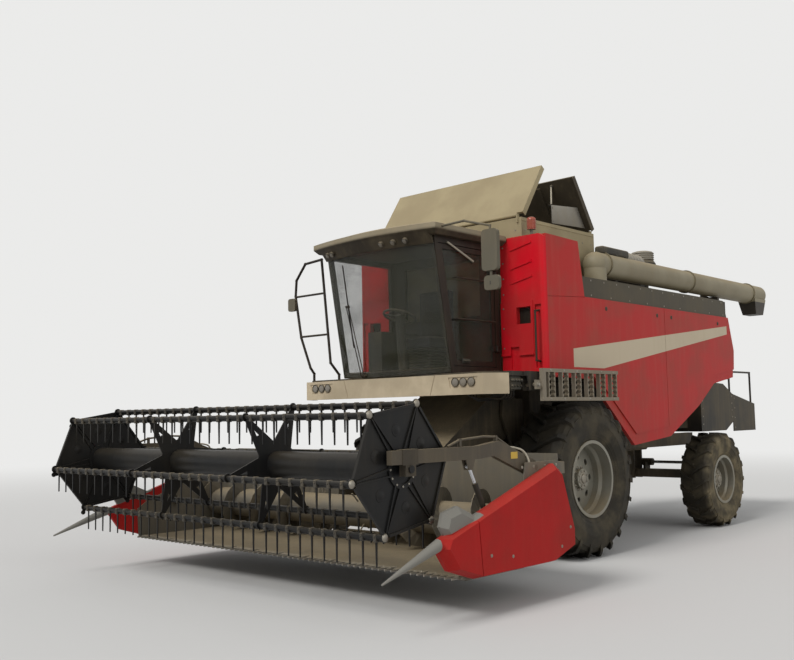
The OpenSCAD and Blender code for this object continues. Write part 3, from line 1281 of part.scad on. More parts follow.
// Spider in (y, z): V arms with webs between, or a six-sided plate, and an eye for each bat
module spider_outline(plate) about_reel() difference() {
    union() {
        if (plate) circle(r = reel_r + 8, $fn = 6);
        else difference() {
            circle(r = 0.62 * reel_r, $fn = 6);
            for (i = [0 : 5]) rotate(i * 60 + 30) translate([0.74 * reel_r, 0]) circle(r = 0.34 * reel_r);
        }
        circle(d = reel_tube_d + 50);
        for (i = [0 : 5]) rotate(i * 60) {
            v_arm();
            translate([reel_r, 0]) circle(d = bat_eye_d);
        }
    }
    circle(d = reel_tube_d - 2);
    for (i = [0 : 5]) rotate(i * 60) translate([reel_r, 0]) circle(d = bat_d + 2 * shaft_gap);
    if (plate) for (i = [0 : 5]) rotate(i * 60 + 30) translate([0.56 * reel_r, 0]) circle(d = 0.16 * reel_r);
}

// Raised ribs of an end plate: a rim along its six sides, and two spokes to each bat
module plate_ribs() about_reel() difference() {
    union() {
        difference() {
            circle(r = reel_r + 8, $fn = 6);
            circle(r = reel_r - 16, $fn = 6);
        }
        for (i = [0 : 5]) rotate(i * 60) {
            polygon([[0, 30], [0, 44], [reel_r, 12], [reel_r, 0]]);
            polygon([[0, -30], [0, -44], [reel_r, -12], [reel_r, 0]]);
        }
        circle(d = reel_tube_d + 70);
    }
    circle(d = reel_tube_d - 2);
    for (i = [0 : 5]) rotate(i * 60) translate([reel_r, 0]) circle(d = bat_eye_d + 2);
}

module reel_rotor() color("black") {
    bar_x(reel_tube_d, -reel_w / 2 + 4, reel_w / 2 - 4, -reel_y, reel_z);
    both_sides() bar_x(reel_shaft_d, reel_w / 2 - 5, arm_x + arm_w / 2 + 20, -reel_y, reel_z);
    for (i = [0 : 3]) side_extrude(spider_xs[i] - spider_t / 2, spider_xs[i] + spider_t / 2)
        spider_outline(i == 0 || i == 3);
    side_extrude(reel_w / 2 - 5, reel_w / 2 - 4 + plate_rib_h) plate_ribs();
    side_extrude(-reel_w / 2 + 15, -reel_w / 2 + 16 + plate_rib_h) plate_ribs();
}

crank_x = reel_w / 2 + 4;
crank_pin_d = 16;
ring_bore_r = crank_l + reel_shaft_d / 2 + 20;

// Ring that turns about a centre one crank below the reel's axis and holds every bat upright
module eccentric_ring() color("dimgray") side_extrude(-crank_x - 2 * crank_t - 4, -crank_x - crank_t - 4)
    translate([-reel_y, reel_z - crank_l]) rotate(180 - reel_turn) difference() {
        union() {
            circle(r = ring_bore_r + 45);
            for (i = [0 : 5]) rotate(i * 60) {
                translate([0, -20]) square([reel_r, 40]);
                translate([reel_r, 0]) circle(d = crank_pin_d + 34);
            }
        }
        circle(r = ring_bore_r);
        for (i = [0 : 5]) rotate(i * 60) translate([reel_r, 0]) circle(d = crank_pin_d + 2 * shaft_gap);
    }

// One bat: a tube with combs of tines hanging between the spiders
module bat(i) color("black") {
    p = bat_pos(i);
    bar_x(bat_d, -crank_x - 1, reel_w / 2 - 2, p[0], p[1]);
    side_extrude(-crank_x - crank_t, -crank_x) translate([p[0], p[1]]) difference() {
        union() {
            circle(d = bat_d + 8);
            translate([-crank_pin_d, -crank_l]) square([2 * crank_pin_d, crank_l]);
            translate([0, -crank_l]) circle(d = 2 * crank_pin_d + 4);
        }
    }
    bar_x(crank_pin_d, -crank_x - 3 * crank_t + 4, -crank_x - crank_t + 1, p[0], p[1] - crank_l);
    for (k = [0 : 2]) {
        x0 = spider_xs[k] + spider_t / 2 + run_gap;
        x1 = spider_xs[k + 1] - spider_t / 2 - run_gap;
        n = floor((x1 - x0 - 60) / tine_pitch);
        front_extrude(p[0] - 5, p[0] + 5) translate([0, p[1]]) polygon(concat([[x1, -12], [x0, -12],
            [x0, -34]], [for (j = [0 : n], q = [[-9, -34], [-5, -tine_l], [5, -tine_l], [9, -34]])
            [(x0 + x1) / 2 + (j - n / 2) * tine_pitch + q.x, q.y]], [[x1, -34]]));
    }
}

module middle() {
    translate([0, front_axle_y, 0]) children();
}

middle() chassis_frame();
middle() front_axle();
middle() rear_axle();
middle() main_housing();
middle() side_panel();  // side_panel_left
middle() mirror([1, 0, 0]) side_panel();  // side_panel_right
middle() front_walls();
middle() grain_tank();
middle() engine_block();
middle() engine_hood();
middle() straw_hood();
middle() straw_spreader();
middle() cab_frame();
middle() cab_roof();
middle() cab_glass();
middle() operator_seat();
middle() steering_console();
middle() operator_platform();
middle() front_fascia();
middle() work_lamps();
middle() handrails();
middle() mirrors();
middle() auger_turret();
middle() cab_door();
middle() door_glass();
middle() tank_cover(-front_wall_y, 1);  // tank_cover_front
middle() tank_cover(tank_back_y, -1);  // tank_cover_rear
middle() unloading_auger();
middle() ladder();
middle() front_tyre(1);  // front_tyre_left
middle() front_tyre(-1);  // front_tyre_right
middle() front_rim(1);  // front_rim_left
middle() front_rim(-1);  // front_rim_right
middle() rear_tyre(1);  // rear_tyre_left
middle() rear_tyre(-1);  // rear_tyre_right
middle() rear_rim(1);  // rear_rim_left
middle() rear_rim(-1);  // rear_rim_right
middle() knuckle();  // knuckle_left
middle() mirror([1, 0, 0]) knuckle();  // knuckle_right
middle() steering_rod();
middle() feeder_house();
middle() header_frame();
middle() header_ends();
middle() cutterbar();
middle() header_auger();
middle() lift_barrels();
middle() lift_rods();
middle() reel_arms();
middle() reel_carriers();
middle() reel_rotor();
middle() eccentric_ring();
for (i = [0 : 5]) middle() bat(i);
middle() reel_lift_barrels();
middle() reel_lift_rods();
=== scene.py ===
import json
import math

import bmesh
import bpy
from mathutils import Matrix, Vector


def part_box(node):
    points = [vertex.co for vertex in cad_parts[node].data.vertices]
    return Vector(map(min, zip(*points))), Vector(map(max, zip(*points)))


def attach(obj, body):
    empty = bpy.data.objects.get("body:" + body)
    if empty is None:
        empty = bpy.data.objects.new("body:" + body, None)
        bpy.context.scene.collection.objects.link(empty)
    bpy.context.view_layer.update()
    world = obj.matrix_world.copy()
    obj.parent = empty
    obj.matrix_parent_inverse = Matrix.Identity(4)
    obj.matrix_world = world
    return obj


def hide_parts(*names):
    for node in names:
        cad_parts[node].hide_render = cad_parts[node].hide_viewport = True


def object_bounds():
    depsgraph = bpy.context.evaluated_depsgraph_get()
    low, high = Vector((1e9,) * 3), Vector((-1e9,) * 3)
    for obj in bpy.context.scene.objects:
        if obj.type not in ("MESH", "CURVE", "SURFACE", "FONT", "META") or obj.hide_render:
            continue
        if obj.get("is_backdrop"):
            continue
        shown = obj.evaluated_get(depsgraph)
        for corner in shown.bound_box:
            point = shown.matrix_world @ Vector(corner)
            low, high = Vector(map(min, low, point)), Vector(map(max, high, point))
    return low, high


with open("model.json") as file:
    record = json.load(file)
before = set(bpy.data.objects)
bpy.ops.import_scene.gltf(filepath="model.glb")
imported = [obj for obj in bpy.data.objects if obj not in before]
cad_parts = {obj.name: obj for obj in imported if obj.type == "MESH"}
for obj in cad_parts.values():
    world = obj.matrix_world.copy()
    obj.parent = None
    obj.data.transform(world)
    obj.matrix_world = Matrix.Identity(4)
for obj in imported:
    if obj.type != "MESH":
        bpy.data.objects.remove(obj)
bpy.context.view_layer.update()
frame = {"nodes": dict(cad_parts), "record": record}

nodes = frame["nodes"]
scene = bpy.context.scene

AXLE_Y = -0.787                     # the front axle in the frame; sizes along Y below are measured from it
FRONT_WHEEL = (1.3, 0, 0.9)         # middle of the left wheel on each axle
REAR_WHEEL = (1.3, 3.7, 0.67)
REEL_Y, REEL_Z = -4.05, 1.25        # the reel's axis
REEL_R, REEL_WIDTH = 0.555, 4.58    # the circle of its bats, and the width of its bays together
REEL_TURN = 9                       # degrees the foremost bat stands below the axis
AUGER_X, AUGER_Z = 1.31, 3.51       # axis of the unloading auger's tube
COVER_HINGE = (0.92, 3.976)         # rear tank cover, in (y, z)
COVER_LEAN = math.radians(56)

LEFT, RIGHT = 1, -1
SIDES = (("left", LEFT), ("right", RIGHT))
UP, DOWN, FORE, AFT = (0, 0, 1), (0, 0, -1), (0, -1, 0), (0, 1, 0)

# ---------------------------------------------------------------- materials

STRAW_DUST = (0.30, 0.235, 0.14)
RED_DUST = (0.36, 0.17, 0.11)
FIELD_DIRT = (0.19, 0.155, 0.095)
RED = (0.56, 0.006, 0.015)
PANEL_RED = (0.41, 0.020, 0.017)
END_RED = (0.37, 0.006, 0.008)
BEACON_RED = (0.34, 0.035, 0.012)
AUGER_TAN = (0.235, 0.205, 0.135)
RUBBER = (0.013, 0.012, 0.010)
FADED = 0.78                # the paint's brightness in its faded patches
PAINT_GRAIN = 0.002
# half the width over which a mark's edge blends
MASK_EDGE, LINE_EDGE, POCKET_EDGE = 0.0015, 0.002, 0.001
# the front tyres' smaller dust is partly real and partly painted shade, keeping them near black as in the
# platform's shadow
FRONT_TYRE_DUST_AND_SHADE, REAR_TYRE_DUST = 0.45, 1.4


def new_material(name):
    material = bpy.data.materials.new(name)
    material.use_nodes = True
    tree = material.node_tree
    shader = tree.nodes["Principled BSDF"]
    return material, tree, shader


def link(tree, a, b):
    tree.links.new(a, b)


def object_coordinates(tree):
    return tree.nodes.new("ShaderNodeTexCoord").outputs["Object"]


def mapped(tree, scale, location=(0, 0, 0)):
    mapping = tree.nodes.new("ShaderNodeMapping")
    mapping.inputs["Scale"].default_value = scale
    mapping.inputs["Location"].default_value = location
    link(tree, object_coordinates(tree), mapping.inputs["Vector"])
    return mapping.outputs["Vector"]


def noise(tree, vector, scale, detail=4.0, rough=0.55):
    node = tree.nodes.new("ShaderNodeTexNoise")
    node.inputs["Scale"].default_value = scale
    node.inputs["Detail"].default_value = detail
    node.inputs["Roughness"].default_value = rough
    link(tree, vector, node.inputs["Vector"])
    return node.outputs["Fac"]


def ramp(tree, value, low, high, out_low=0.0, out_high=1.0):
    node = tree.nodes.new("ShaderNodeMapRange")
    node.interpolation_type = "SMOOTHSTEP"
    node.inputs["From Min"].default_value = low
    node.inputs["From Max"].default_value = high
    node.inputs["To Min"].default_value = out_low
    node.inputs["To Max"].default_value = out_high
    link(tree, value, node.inputs["Value"])
    return node.outputs["Result"]


def maths(tree, operation, a, b):
    node = tree.nodes.new("ShaderNodeMath")
    node.operation = operation
    node.use_clamp = operation in ("ADD", "MULTIPLY")
    for value, socket in ((a, node.inputs[0]), (b, node.inputs[1])):
        if isinstance(value, (int, float)):
            socket.default_value = value
        else:
            link(tree, value, socket)
    return node.outputs[0]


def blend_colour(tree, factor, a, b):
    node = tree.nodes.new("ShaderNodeMix")
    node.data_type = "RGBA"
    if isinstance(factor, (int, float)):
        node.inputs["Factor"].default_value = factor
    else:
        link(tree, factor, node.inputs["Factor"])
    for value, socket in ((a, node.inputs["A"]), (b, node.inputs["B"])):
        if isinstance(value, tuple):
            socket.default_value = (*value, 1.0)
        else:
            link(tree, value, socket)
    return node.outputs["Result"]


def upward(tree):
    """How far the surface faces up, from -1 to 1."""
    normal = tree.nodes.new("ShaderNodeTexCoord").outputs["Normal"]
    parts = tree.nodes.new("ShaderNodeSeparateXYZ")
    link(tree, normal, parts.inputs[0])
    return parts.outputs["Z"]


def place_parts(tree):
    """The place's three coordinates, each an output of its own."""
    parts = tree.nodes.new("ShaderNodeSeparateXYZ")
    link(tree, object_coordinates(tree), parts.inputs[0])
    return parts


def height(tree):
    return place_parts(tree).outputs["Z"]


def length(tree, vector):
    node = tree.nodes.new("ShaderNodeVectorMath")
    node.operation = "LENGTH"
    link(tree, vector, node.inputs[0])
    return node.outputs["Value"]


def step(tree, value, at, over, half=MASK_EDGE):
    """1 where the value is over a limit, or under it."""
    return ramp(tree, value, at - half, at + half, *((0.0, 1.0) if over else (1.0, 0.0)))


def past(tree, parts, axis, at, over=True):
    """1 where a coordinate is past a value, or short of it."""
    return step(tree, parts.outputs[axis], at, over)


def over_line(tree, parts, y0, z0, slope, over=True):
    """1 above a straight line in (y, z), or below it."""
    fall = tree.nodes.new("ShaderNodeMath")
    fall.operation = "MULTIPLY_ADD"
    link(tree, parts.outputs["Y"], fall.inputs[0])
    fall.inputs[1].default_value = -slope
    fall.inputs[2].default_value = slope * y0 - z0
    total = tree.nodes.new("ShaderNodeMath")
    total.operation = "ADD"
    link(tree, parts.outputs["Z"], total.inputs[0])
    link(tree, fall.outputs[0], total.inputs[1])
    return step(tree, total.outputs[0], 0.0, over, LINE_EDGE)


def all_of(tree, *masks):
    result = masks[0]
    for mask in masks[1:]:
        result = maths(tree, "MULTIPLY", result, mask)
    return result


def bump(tree, shader, value, strength, distance):
    node = tree.nodes.new("ShaderNodeBump")
    node.inputs["Strength"].default_value = strength
    node.inputs["Distance"].default_value = distance
    link(tree, value, node.inputs["Height"])
    link(tree, node.outputs["Normal"], shader.inputs["Normal"])


def painted(name, paint, dust=0.35, rough=0.35, coat=0.0, metal=0.0, low=0.0, dust_colour=STRAW_DUST,
            marks=(), shine=0.2):
    """Paint with dust on top faces, in patches and in streaks; low is how much more lies near the ground.

    Each mark is a mask in place and the colour painted there; shine is how strongly the paint mirrors.
    """
    material, tree, shader = new_material(name)
    patches = ramp(tree, noise(tree, mapped(tree, (1, 1, 1)), 1.7, 5), 0.38, 0.66)
    streaks = ramp(tree, noise(tree, mapped(tree, (9, 9, 0.8)), 1.6, 3), 0.45, 0.75)
    grains = noise(tree, mapped(tree, (1, 1, 1)), 60, 2)
    top = ramp(tree, upward(tree), 0.2, 0.95)
    ground = ramp(tree, height(tree), 0.25, 2.6, low, 0.0)
    dirt = maths(tree, "MULTIPLY", maths(tree, "ADD", maths(tree, "MULTIPLY", patches, 0.55),
                                         maths(tree, "MULTIPLY", streaks, 0.35)), dust)
    dirt = maths(tree, "ADD", dirt, maths(tree, "MULTIPLY", top, min(1.0, dust * 1.5)))
    dirt = maths(tree, "ADD", dirt, ground)
    dirt = maths(tree, "MULTIPLY", dirt, ramp(tree, grains, 0.2, 0.7, 0.75, 1.0))
    worn_and_shaded = blend_colour(tree, patches, paint, tuple(c * FADED for c in paint))
    settled_and_shaded = dust_colour
    # Marks are real colours, such as the stripe, and painted shade, such as the dark pockets and visor; dust
    # over a mark takes half its colour.
    for mask, colour in marks:
        marked = mask(tree)
        worn_and_shaded = blend_colour(tree, marked, worn_and_shaded, colour)
        settled_and_shaded = blend_colour(tree, marked, settled_and_shaded, tuple((c + d) / 2 for c, d in zip(colour, STRAW_DUST)))
    link(tree, blend_colour(tree, dirt, worn_and_shaded, settled_and_shaded), shader.inputs["Base Color"])
    link(tree, ramp(tree, dirt, 0.0, 0.7, rough, 0.85), shader.inputs["Roughness"])
    shader.inputs["Coat Weight"].default_value = coat
    shader.inputs["Coat Roughness"].default_value = 0.25
    shader.inputs["Metallic"].default_value = metal
    shader.inputs["Specular IOR Level"].default_value = shine
    bump(tree, shader, grains, 0.15, PAINT_GRAIN)
    return material


def clear_glass(name, tint, alpha):
    """Tinted glass with smears of dust, where it is a little rougher and less clear."""
    material, tree, shader = new_material(name)
    smear = ramp(tree, noise(tree, mapped(tree, (1, 1, 1.5)), 2.2, 5), 0.4, 0.75)
    dusty = tuple(c * 0.6 + 0.03 for c in tint)
    link(tree, blend_colour(tree, smear, tint, dusty), shader.inputs["Base Color"])
    link(tree, ramp(tree, smear, 0, 1, 0.04, 0.28), shader.inputs["Roughness"])
    link(tree, ramp(tree, smear, 0, 1, alpha, min(1.0, alpha + 0.08)), shader.inputs["Alpha"])
    shader.inputs["Specular IOR Level"].default_value = 0.4
    return material


def rubber(name, centre, radius, dusty):
    """Tyre rubber: dusty between the lugs and low on the sidewall."""
    material, tree, shader = new_material(name)
    out = length(tree, mapped(tree, (0, 1, 1), (0, -centre.y, -centre.z)))
    tread = ramp(tree, out, radius * 0.86, radius * 0.985, 0.75, 0.15)
    patches = ramp(tree, noise(tree, mapped(tree, (1, 1, 1)), 4.5, 5), 0.35, 0.7)
    fine = noise(tree, mapped(tree, (1, 1, 1)), 70, 3)
    dirt = maths(tree, "MULTIPLY", tread, maths(tree, "ADD", maths(tree, "MULTIPLY", patches, 0.7), 0.2))
    # a small dusty is partly painted shade, as on the front tyres, which it keeps near black
    dirt = maths(tree, "MULTIPLY", dirt, dusty)
    link(tree, blend_colour(tree, dirt, RUBBER, FIELD_DIRT), shader.inputs["Base Color"])
    link(tree, ramp(tree, dirt, 0, 0.8, 0.62, 0.95), shader.inputs["Roughness"])
    shader.inputs["Specular IOR Level"].default_value = 0.15
    bump(tree, shader, fine, 0.3, 0.003)
    return material


materials = {
    "frame_paint": painted("frame grey", (0.022, 0.020, 0.018), rough=0.6, low=0.2),
    "body_grey": painted("dark sheet", (0.036, 0.033, 0.027), dust=0.3, rough=0.55),
    "tank_tan": painted("tank sheet", (0.34, 0.28, 0.16), dust=0.45, rough=0.6, shine=0.25),
    "fascia_beige": painted("fascia moulding", (0.50, 0.41, 0.28), dust=0.3, rough=0.5, coat=0.05,
                            shine=0.25),
    "cab_dark": painted("cab frame black", (0.020, 0.015, 0.011), dust=0.10, rough=0.45),
    "window_glass": clear_glass("window glass", (0.065, 0.066, 0.045), 0.22),
    "soft_trim": painted("seat cloth", (0.03, 0.03, 0.035), dust=0.1, rough=0.9, shine=0.1),
    "dark_plastic": painted("dark plastic", (0.04, 0.038, 0.032), dust=0.3, rough=0.6),
    "lamp_glass": painted("lamp lens", (0.20, 0.18, 0.15), dust=0.3, rough=0.2, coat=0.2, shine=0.35),
    "rim_silver": painted("rim silver", (0.24, 0.23, 0.19), dust=0.45, rough=0.45, coat=0.05, metal=0.3,
                          shine=0.35),
    "header_grey": painted("header sheet", (0.12, 0.108, 0.085), dust=0.4, rough=0.5, metal=0.3, shine=0.35),
    "knife_steel": painted("knife steel", (0.30, 0.28, 0.24), rough=0.4, metal=0.8, shine=0.35),
    "cylinder_black": painted("cylinder paint", (0.018, 0.017, 0.016), dust=0.25, rough=0.45),
    "rod_chrome": painted("rod chrome", (0.62, 0.63, 0.65), dust=0.1, rough=0.12, metal=1.0, shine=0.35),
    "reel_black": painted("reel black", (0.008, 0.008, 0.008), dust=0.05, rough=0.4, shine=0.22),
    "auger_olive": painted("auger tube paint", (0.15, 0.126, 0.075), rough=0.5, shine=0.25),
    "engine_iron": painted("engine iron", (0.05, 0.047, 0.042), dust=0.5, rough=0.8, shine=0.35),
    "tine_clip": painted("tine clip plastic", (0.055, 0.050, 0.042), dust=0.2, rough=0.5),
    "beacon_lens": painted("beacon lens", BEACON_RED, dust=0.2, rough=0.25, coat=0.3, shine=0.35),
    "tyre_trim": painted("hose rubber", (0.014, 0.014, 0.014), dust=0.2, rough=0.6),
    "pale_hose": painted("pale hose", (0.42, 0.38, 0.30), dust=0.2, rough=0.5, shine=0.35),
    "pale_sheet": painted("pale sheet", (0.27, 0.25, 0.21), rough=0.6),
    "yellow_tag": painted("yellow tag", (0.62, 0.40, 0.04), dust=0.2, rough=0.5, coat=0.1, shine=0.35),
}


def stripe_mask(tree):
    """Pale band that rises along the side panel and widens to the rear."""
    parts = place_parts(tree)
    return all_of(tree, over_line(tree, parts, -0.09 + AXLE_Y, 2.42, 0.1178, False),
                  over_line(tree, parts, 0.59 + AXLE_Y, 2.21, 0.1662), past(tree, parts, "Z", 2.195),
                  past(tree, parts, "Y", -0.17 + AXLE_Y), past(tree, parts, "Y", 4.05 + AXLE_Y, False))


def shelf_mask(tree):
    """The recessed band under the unloading auger."""
    parts = place_parts(tree)
    return all_of(tree, past(tree, parts, "Z", 3.041), past(tree, parts, "Y", 0.108 + AXLE_Y))


def cone_mask(tree):
    """The divider's bright base and cone, which stand proud of the red moulding."""
    parts = place_parts(tree)
    base = all_of(tree, over_line(tree, parts, -3.815 + AXLE_Y, 0.694, 0.265),
                  over_line(tree, parts, -3.40 + AXLE_Y, 0.803, 0.335),
                  past(tree, parts, "Y", -3.30 + AXLE_Y, False))
    return maths(tree, "MAXIMUM", base, past(tree, parts, "Y", -3.862 + AXLE_Y, False))


def visor_shade_mask(tree):
    """Painted shade: the visor and lower edge below the roof's pale shell are dark."""
    return ramp(tree, height(tree), 3.655, 3.70, 1.0, 0.0)


def pocket_shade_mask(tree):
    """Painted shade: the near-black inside of the square pocket in each front wall."""
    parts = place_parts(tree)
    across = maths(tree, "ABSOLUTE", parts.outputs["X"], 0)
    return all_of(tree, step(tree, across, 1.089, True, POCKET_EDGE),
                  step(tree, across, 1.276, False, POCKET_EDGE),
                  past(tree, parts, "Z", 2.694), past(tree, parts, "Z", 2.881, False))


def spout_mask(tree):
    """The dark rubber-edged spout under the end of the unloading auger."""
    parts = place_parts(tree)
    return all_of(tree, past(tree, parts, "Y", 5.19 + AXLE_Y), past(tree, parts, "Z", 3.375, False))


def beacon_mask(tree):
    """The beacon, which stands higher than every lamp."""
    return past(tree, place_parts(tree), "Z", 3.772)


panel_paint = painted("side panel red", PANEL_RED, dust=0.3, rough=0.45, dust_colour=RED_DUST, shine=0.15,
                      marks=((shelf_mask, (0.062, 0.052, 0.034)), (stripe_mask, (0.50, 0.42, 0.30))))
node_paint = {
    "side_panel_left": panel_paint,
    "side_panel_right": panel_paint,
    # the near-black inside of each front wall's pocket is painted shade
    "front_walls": painted("front wall red", RED, dust=0.14, coat=0.05, dust_colour=RED_DUST, shine=0.12,
                           marks=((pocket_shade_mask, (0.006, 0.004, 0.004)),)),
    "header_ends": painted("end moulding red", END_RED, dust=0.06, rough=0.4, low=0.08, dust_colour=RED_DUST,
                           shine=0.06, marks=((cone_mask, (0.19, 0.185, 0.165)),)),
    # the roof's dark visor and lower edge are painted shade
    "cab_roof": painted("roof shell", (0.25, 0.21, 0.14), dust=0.5, rough=0.6, shine=0.25,
                        marks=((visor_shade_mask, (0.030, 0.023, 0.014)),)),
    # Painted shade: the whole rear cover is dark brown, for the shade on its inner face.
    "tank_cover_rear": painted("rear cover sheet", (0.050, 0.040, 0.026), dust=0.25, rough=0.6),
    "work_lamps": painted("lamp bodies", (0.10, 0.088, 0.065), dust=0.25, coat=0.05, shine=0.35,
                          marks=((beacon_mask, BEACON_RED),)),
    "mirrors": painted("mirror heads", (0.105, 0.093, 0.066), dust=0.3, rough=0.55),
    "ladder": painted("ladder steel", (0.21, 0.18, 0.135), dust=0.4, rough=0.6),
    "unloading_auger": painted("auger tube sheet", AUGER_TAN, rough=0.5, shine=0.25,
                               marks=((spout_mask, (0.045, 0.038, 0.030)),)),
    "auger_turret": painted("turret sheet", AUGER_TAN, rough=0.5, shine=0.25),
    "reel_arms": painted("reel arm paint", (0.075, 0.062, 0.045), dust=0.3, rough=0.5),
}
slot_of = {row["node"]: row["material_slot"] for row in frame["record"]["subparts"]}
for name, node in nodes.items():
    slot = slot_of[name]
    if slot == "tyre_rubber":
        low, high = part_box(name)
        made = rubber(name + " rubber", (low + high) / 2, (high.z - low.z) / 2,
                      REAR_TYRE_DUST if "rear" in name else FRONT_TYRE_DUST_AND_SHADE)
    else:
        made = node_paint.get(name) or materials[slot]
    node.data.materials.clear()
    node.data.materials.append(made)

# ---------------------------------------------------------------- shapes

def spot(x, y, z):
    """A place in the frame, given with Y from the front axle."""
    return Vector((x, y + AXLE_Y, z))


def mirrored(side, place):
    """A place of the machine's left side, or its image on the right."""
    return (side * place[0], *place[1:])


def around(count, first=0.0):
    """Cosine and sine of evenly spaced angles; first is how far into its step the first one stands."""
    angles = [2 * math.pi * (k + first) / count for k in range(count)]
    return [(math.cos(a), math.sin(a)) for a in angles]


def placed(centre, axis):
    """Matrix whose Z is the axis and whose origin is the centre."""
    z = Vector(axis).normalized()
    x = Vector(UP).cross(z)
    if x.length < 1e-6:
        x = Vector((1, 0, 0))
    x.normalize()
    return Matrix.Translation(centre) @ Matrix((x, z.cross(x), z)).transposed().to_4x4()


def bevel(mesh, edges, width, steps):
    bmesh.ops.bevel(mesh, geom=edges, offset=width, segments=steps, profile=0.5, affect="EDGES", material=-1)


def edges_of(verts):
    return {e for v in verts for e in v.link_edges}


def add_box(mesh, low, high, edge, steps=2, place=Matrix.Identity(4)):
    """Box between two corners, its edges rounded in so many steps."""
    low, high = Vector(low), Vector(high)
    size = high - low
    made = bmesh.ops.create_cube(mesh, size=1, matrix=place @ Matrix.Translation((low + high) / 2)
                                 @ Matrix.Diagonal((*size, 1)))
    bevel(mesh, list(edges_of(made["verts"])), min(edge, min(size) * 0.45), steps)


def add_lathe(mesh, profile, place, steps, closed=False):
    """Spins (radius, height) points about the place's Z."""
    points = [mesh.verts.new(place @ Vector((r, 0, z))) for r, z in profile]
    edges = [mesh.edges.new(pair) for pair in zip(points, points[1:])]
    if closed:
        edges.append(mesh.edges.new((points[-1], points[0])))
    axis = place.to_3x3().col[2]
    centre = place.to_translation()
    made = bmesh.ops.spin(mesh, geom=points + edges, cent=centre, axis=axis, dvec=(0, 0, 0),
                          angle=2 * math.pi, steps=steps, use_merge=True, use_duplicate=False)
    ends = [v for v in made["geom_last"] if isinstance(v, bmesh.types.BMVert)]
    poles = [v for v in points + ends if v.is_valid and (v.co - centre).cross(axis).length < 1e-5]
    if poles:
        near = [v for v in mesh.verts if any((v.co - p.co).length < 1e-5 for p in poles)]
        bmesh.ops.remove_doubles(mesh, verts=near, dist=1e-4)


def add_ring(mesh, place, inner, outer, low, high, edge, steps):
    profile = [(inner, low), (inner, high), (outer - edge, high), (outer, high - edge), (outer, low)]
    add_lathe(mesh, profile, place, steps, closed=True)


def ribs(count, first, pitch, low, high, corners):
    """Even ribs of a profile: the radii beside and on them, and how far along a rib its corners are."""
    a, b, c = corners
    return [point for z in (first + pitch * k for k in range(count))
            for point in ((low, z), (high, z + a), (high, z + b), (low, z + c))]


def add_nut(mesh, place, across, tall):
    """Six-sided nut or bolt head with chamfered corners, standing on the place's XY plane."""
    radius = across * 0.577
    made = bmesh.ops.create_cone(mesh, cap_ends=True, segments=6, radius1=radius, radius2=radius, depth=tall,
                                 matrix=place @ Matrix.Translation((0, 0, tall / 2)))
    inverse = place.inverted()
    top = [e for e in edges_of(made["verts"]) if all((inverse @ v.co).z > tall * 0.9 for v in e.verts)]
    bevel(mesh, top, tall * 0.25, 1)


def add_plate(mesh, outline, thick, place, edge):
    """Plate of an outline in the place's XY plane, thick along its Z, with broken edges."""
    face = mesh.faces.new([mesh.verts.new(place @ Vector((x, y, 0))) for x, y in outline])
    bmesh.ops.recalc_face_normals(mesh, faces=[face])
    made = bmesh.ops.extrude_face_region(mesh, geom=[face])
    verts = [v for v in made["geom"] if isinstance(v, bmesh.types.BMVert)]
    bmesh.ops.translate(mesh, verts=verts, vec=place.to_3x3() @ Vector((0, 0, thick)))
    bevel(mesh, list(edges_of(verts)), min(edge, thick * 0.4), 2)


def show(name, data, body):
    """Puts a piece into the scene, riding its body."""
    piece = bpy.data.objects.new(name, data)
    scene.collection.objects.link(piece)
    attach(piece, body)
    return piece


def finish_piece(name, mesh, material, body, angle=35):
    """Turns a mesh into a piece, smooth but for edges sharper than the angle."""
    bmesh.ops.recalc_face_normals(mesh, faces=mesh.faces)
    data = bpy.data.meshes.new(name)
    mesh.to_mesh(data)
    mesh.free()
    for polygon in data.polygons:
        polygon.use_smooth = True
    data.set_sharp_from_angle(angle=math.radians(angle))
    data.materials.append(material)
    return show(name, data, body)


def tube(name, runs, radius, material, body, smooth=True):
    """Round tube or hose along each run of points."""
    curve = bpy.data.curves.new(name, "CURVE")
    curve.dimensions = "3D"
    curve.bevel_depth = radius
    curve.bevel_resolution = 3
    curve.resolution_u = 8
    curve.use_fill_caps = True
    for points in runs:
        spline = curve.splines.new("BEZIER" if smooth else "POLY")
        if smooth:
            spline.bezier_points.add(len(points) - 1)
            for knot, point in zip(spline.bezier_points, points):
                knot.co = point
                knot.handle_left_type = knot.handle_right_type = "AUTO"
        else:
            spline.points.add(len(points) - 1)
            for knot, point in zip(spline.points, points):
                knot.co = (*point, 1)
    curve.materials.append(material)
    show(name, curve, body)


def bolt_rows(name, rows, across, tall, body):
    """Rows of bolt heads with washers: each row is its first and last place, the count and its facing."""
    mesh = bmesh.new()
    for first, last, count, facing in rows:
        for k in range(count):
            place = placed(spot(*first).lerp(spot(*last), k / max(1, count - 1)), facing)
            add_nut(mesh, place, across, tall)
            add_lathe(mesh, [(across * 0.95, 0), (across * 0.9, tall * 0.22), (across * 0.5, tall * 0.24)],
                      place, 10)
    finish_piece(name, mesh, materials["knife_steel"], body)


# ---------------------------------------------------------------- wheels

NUT_RING, HUB_BOLT_RING = 0.129, 0.092


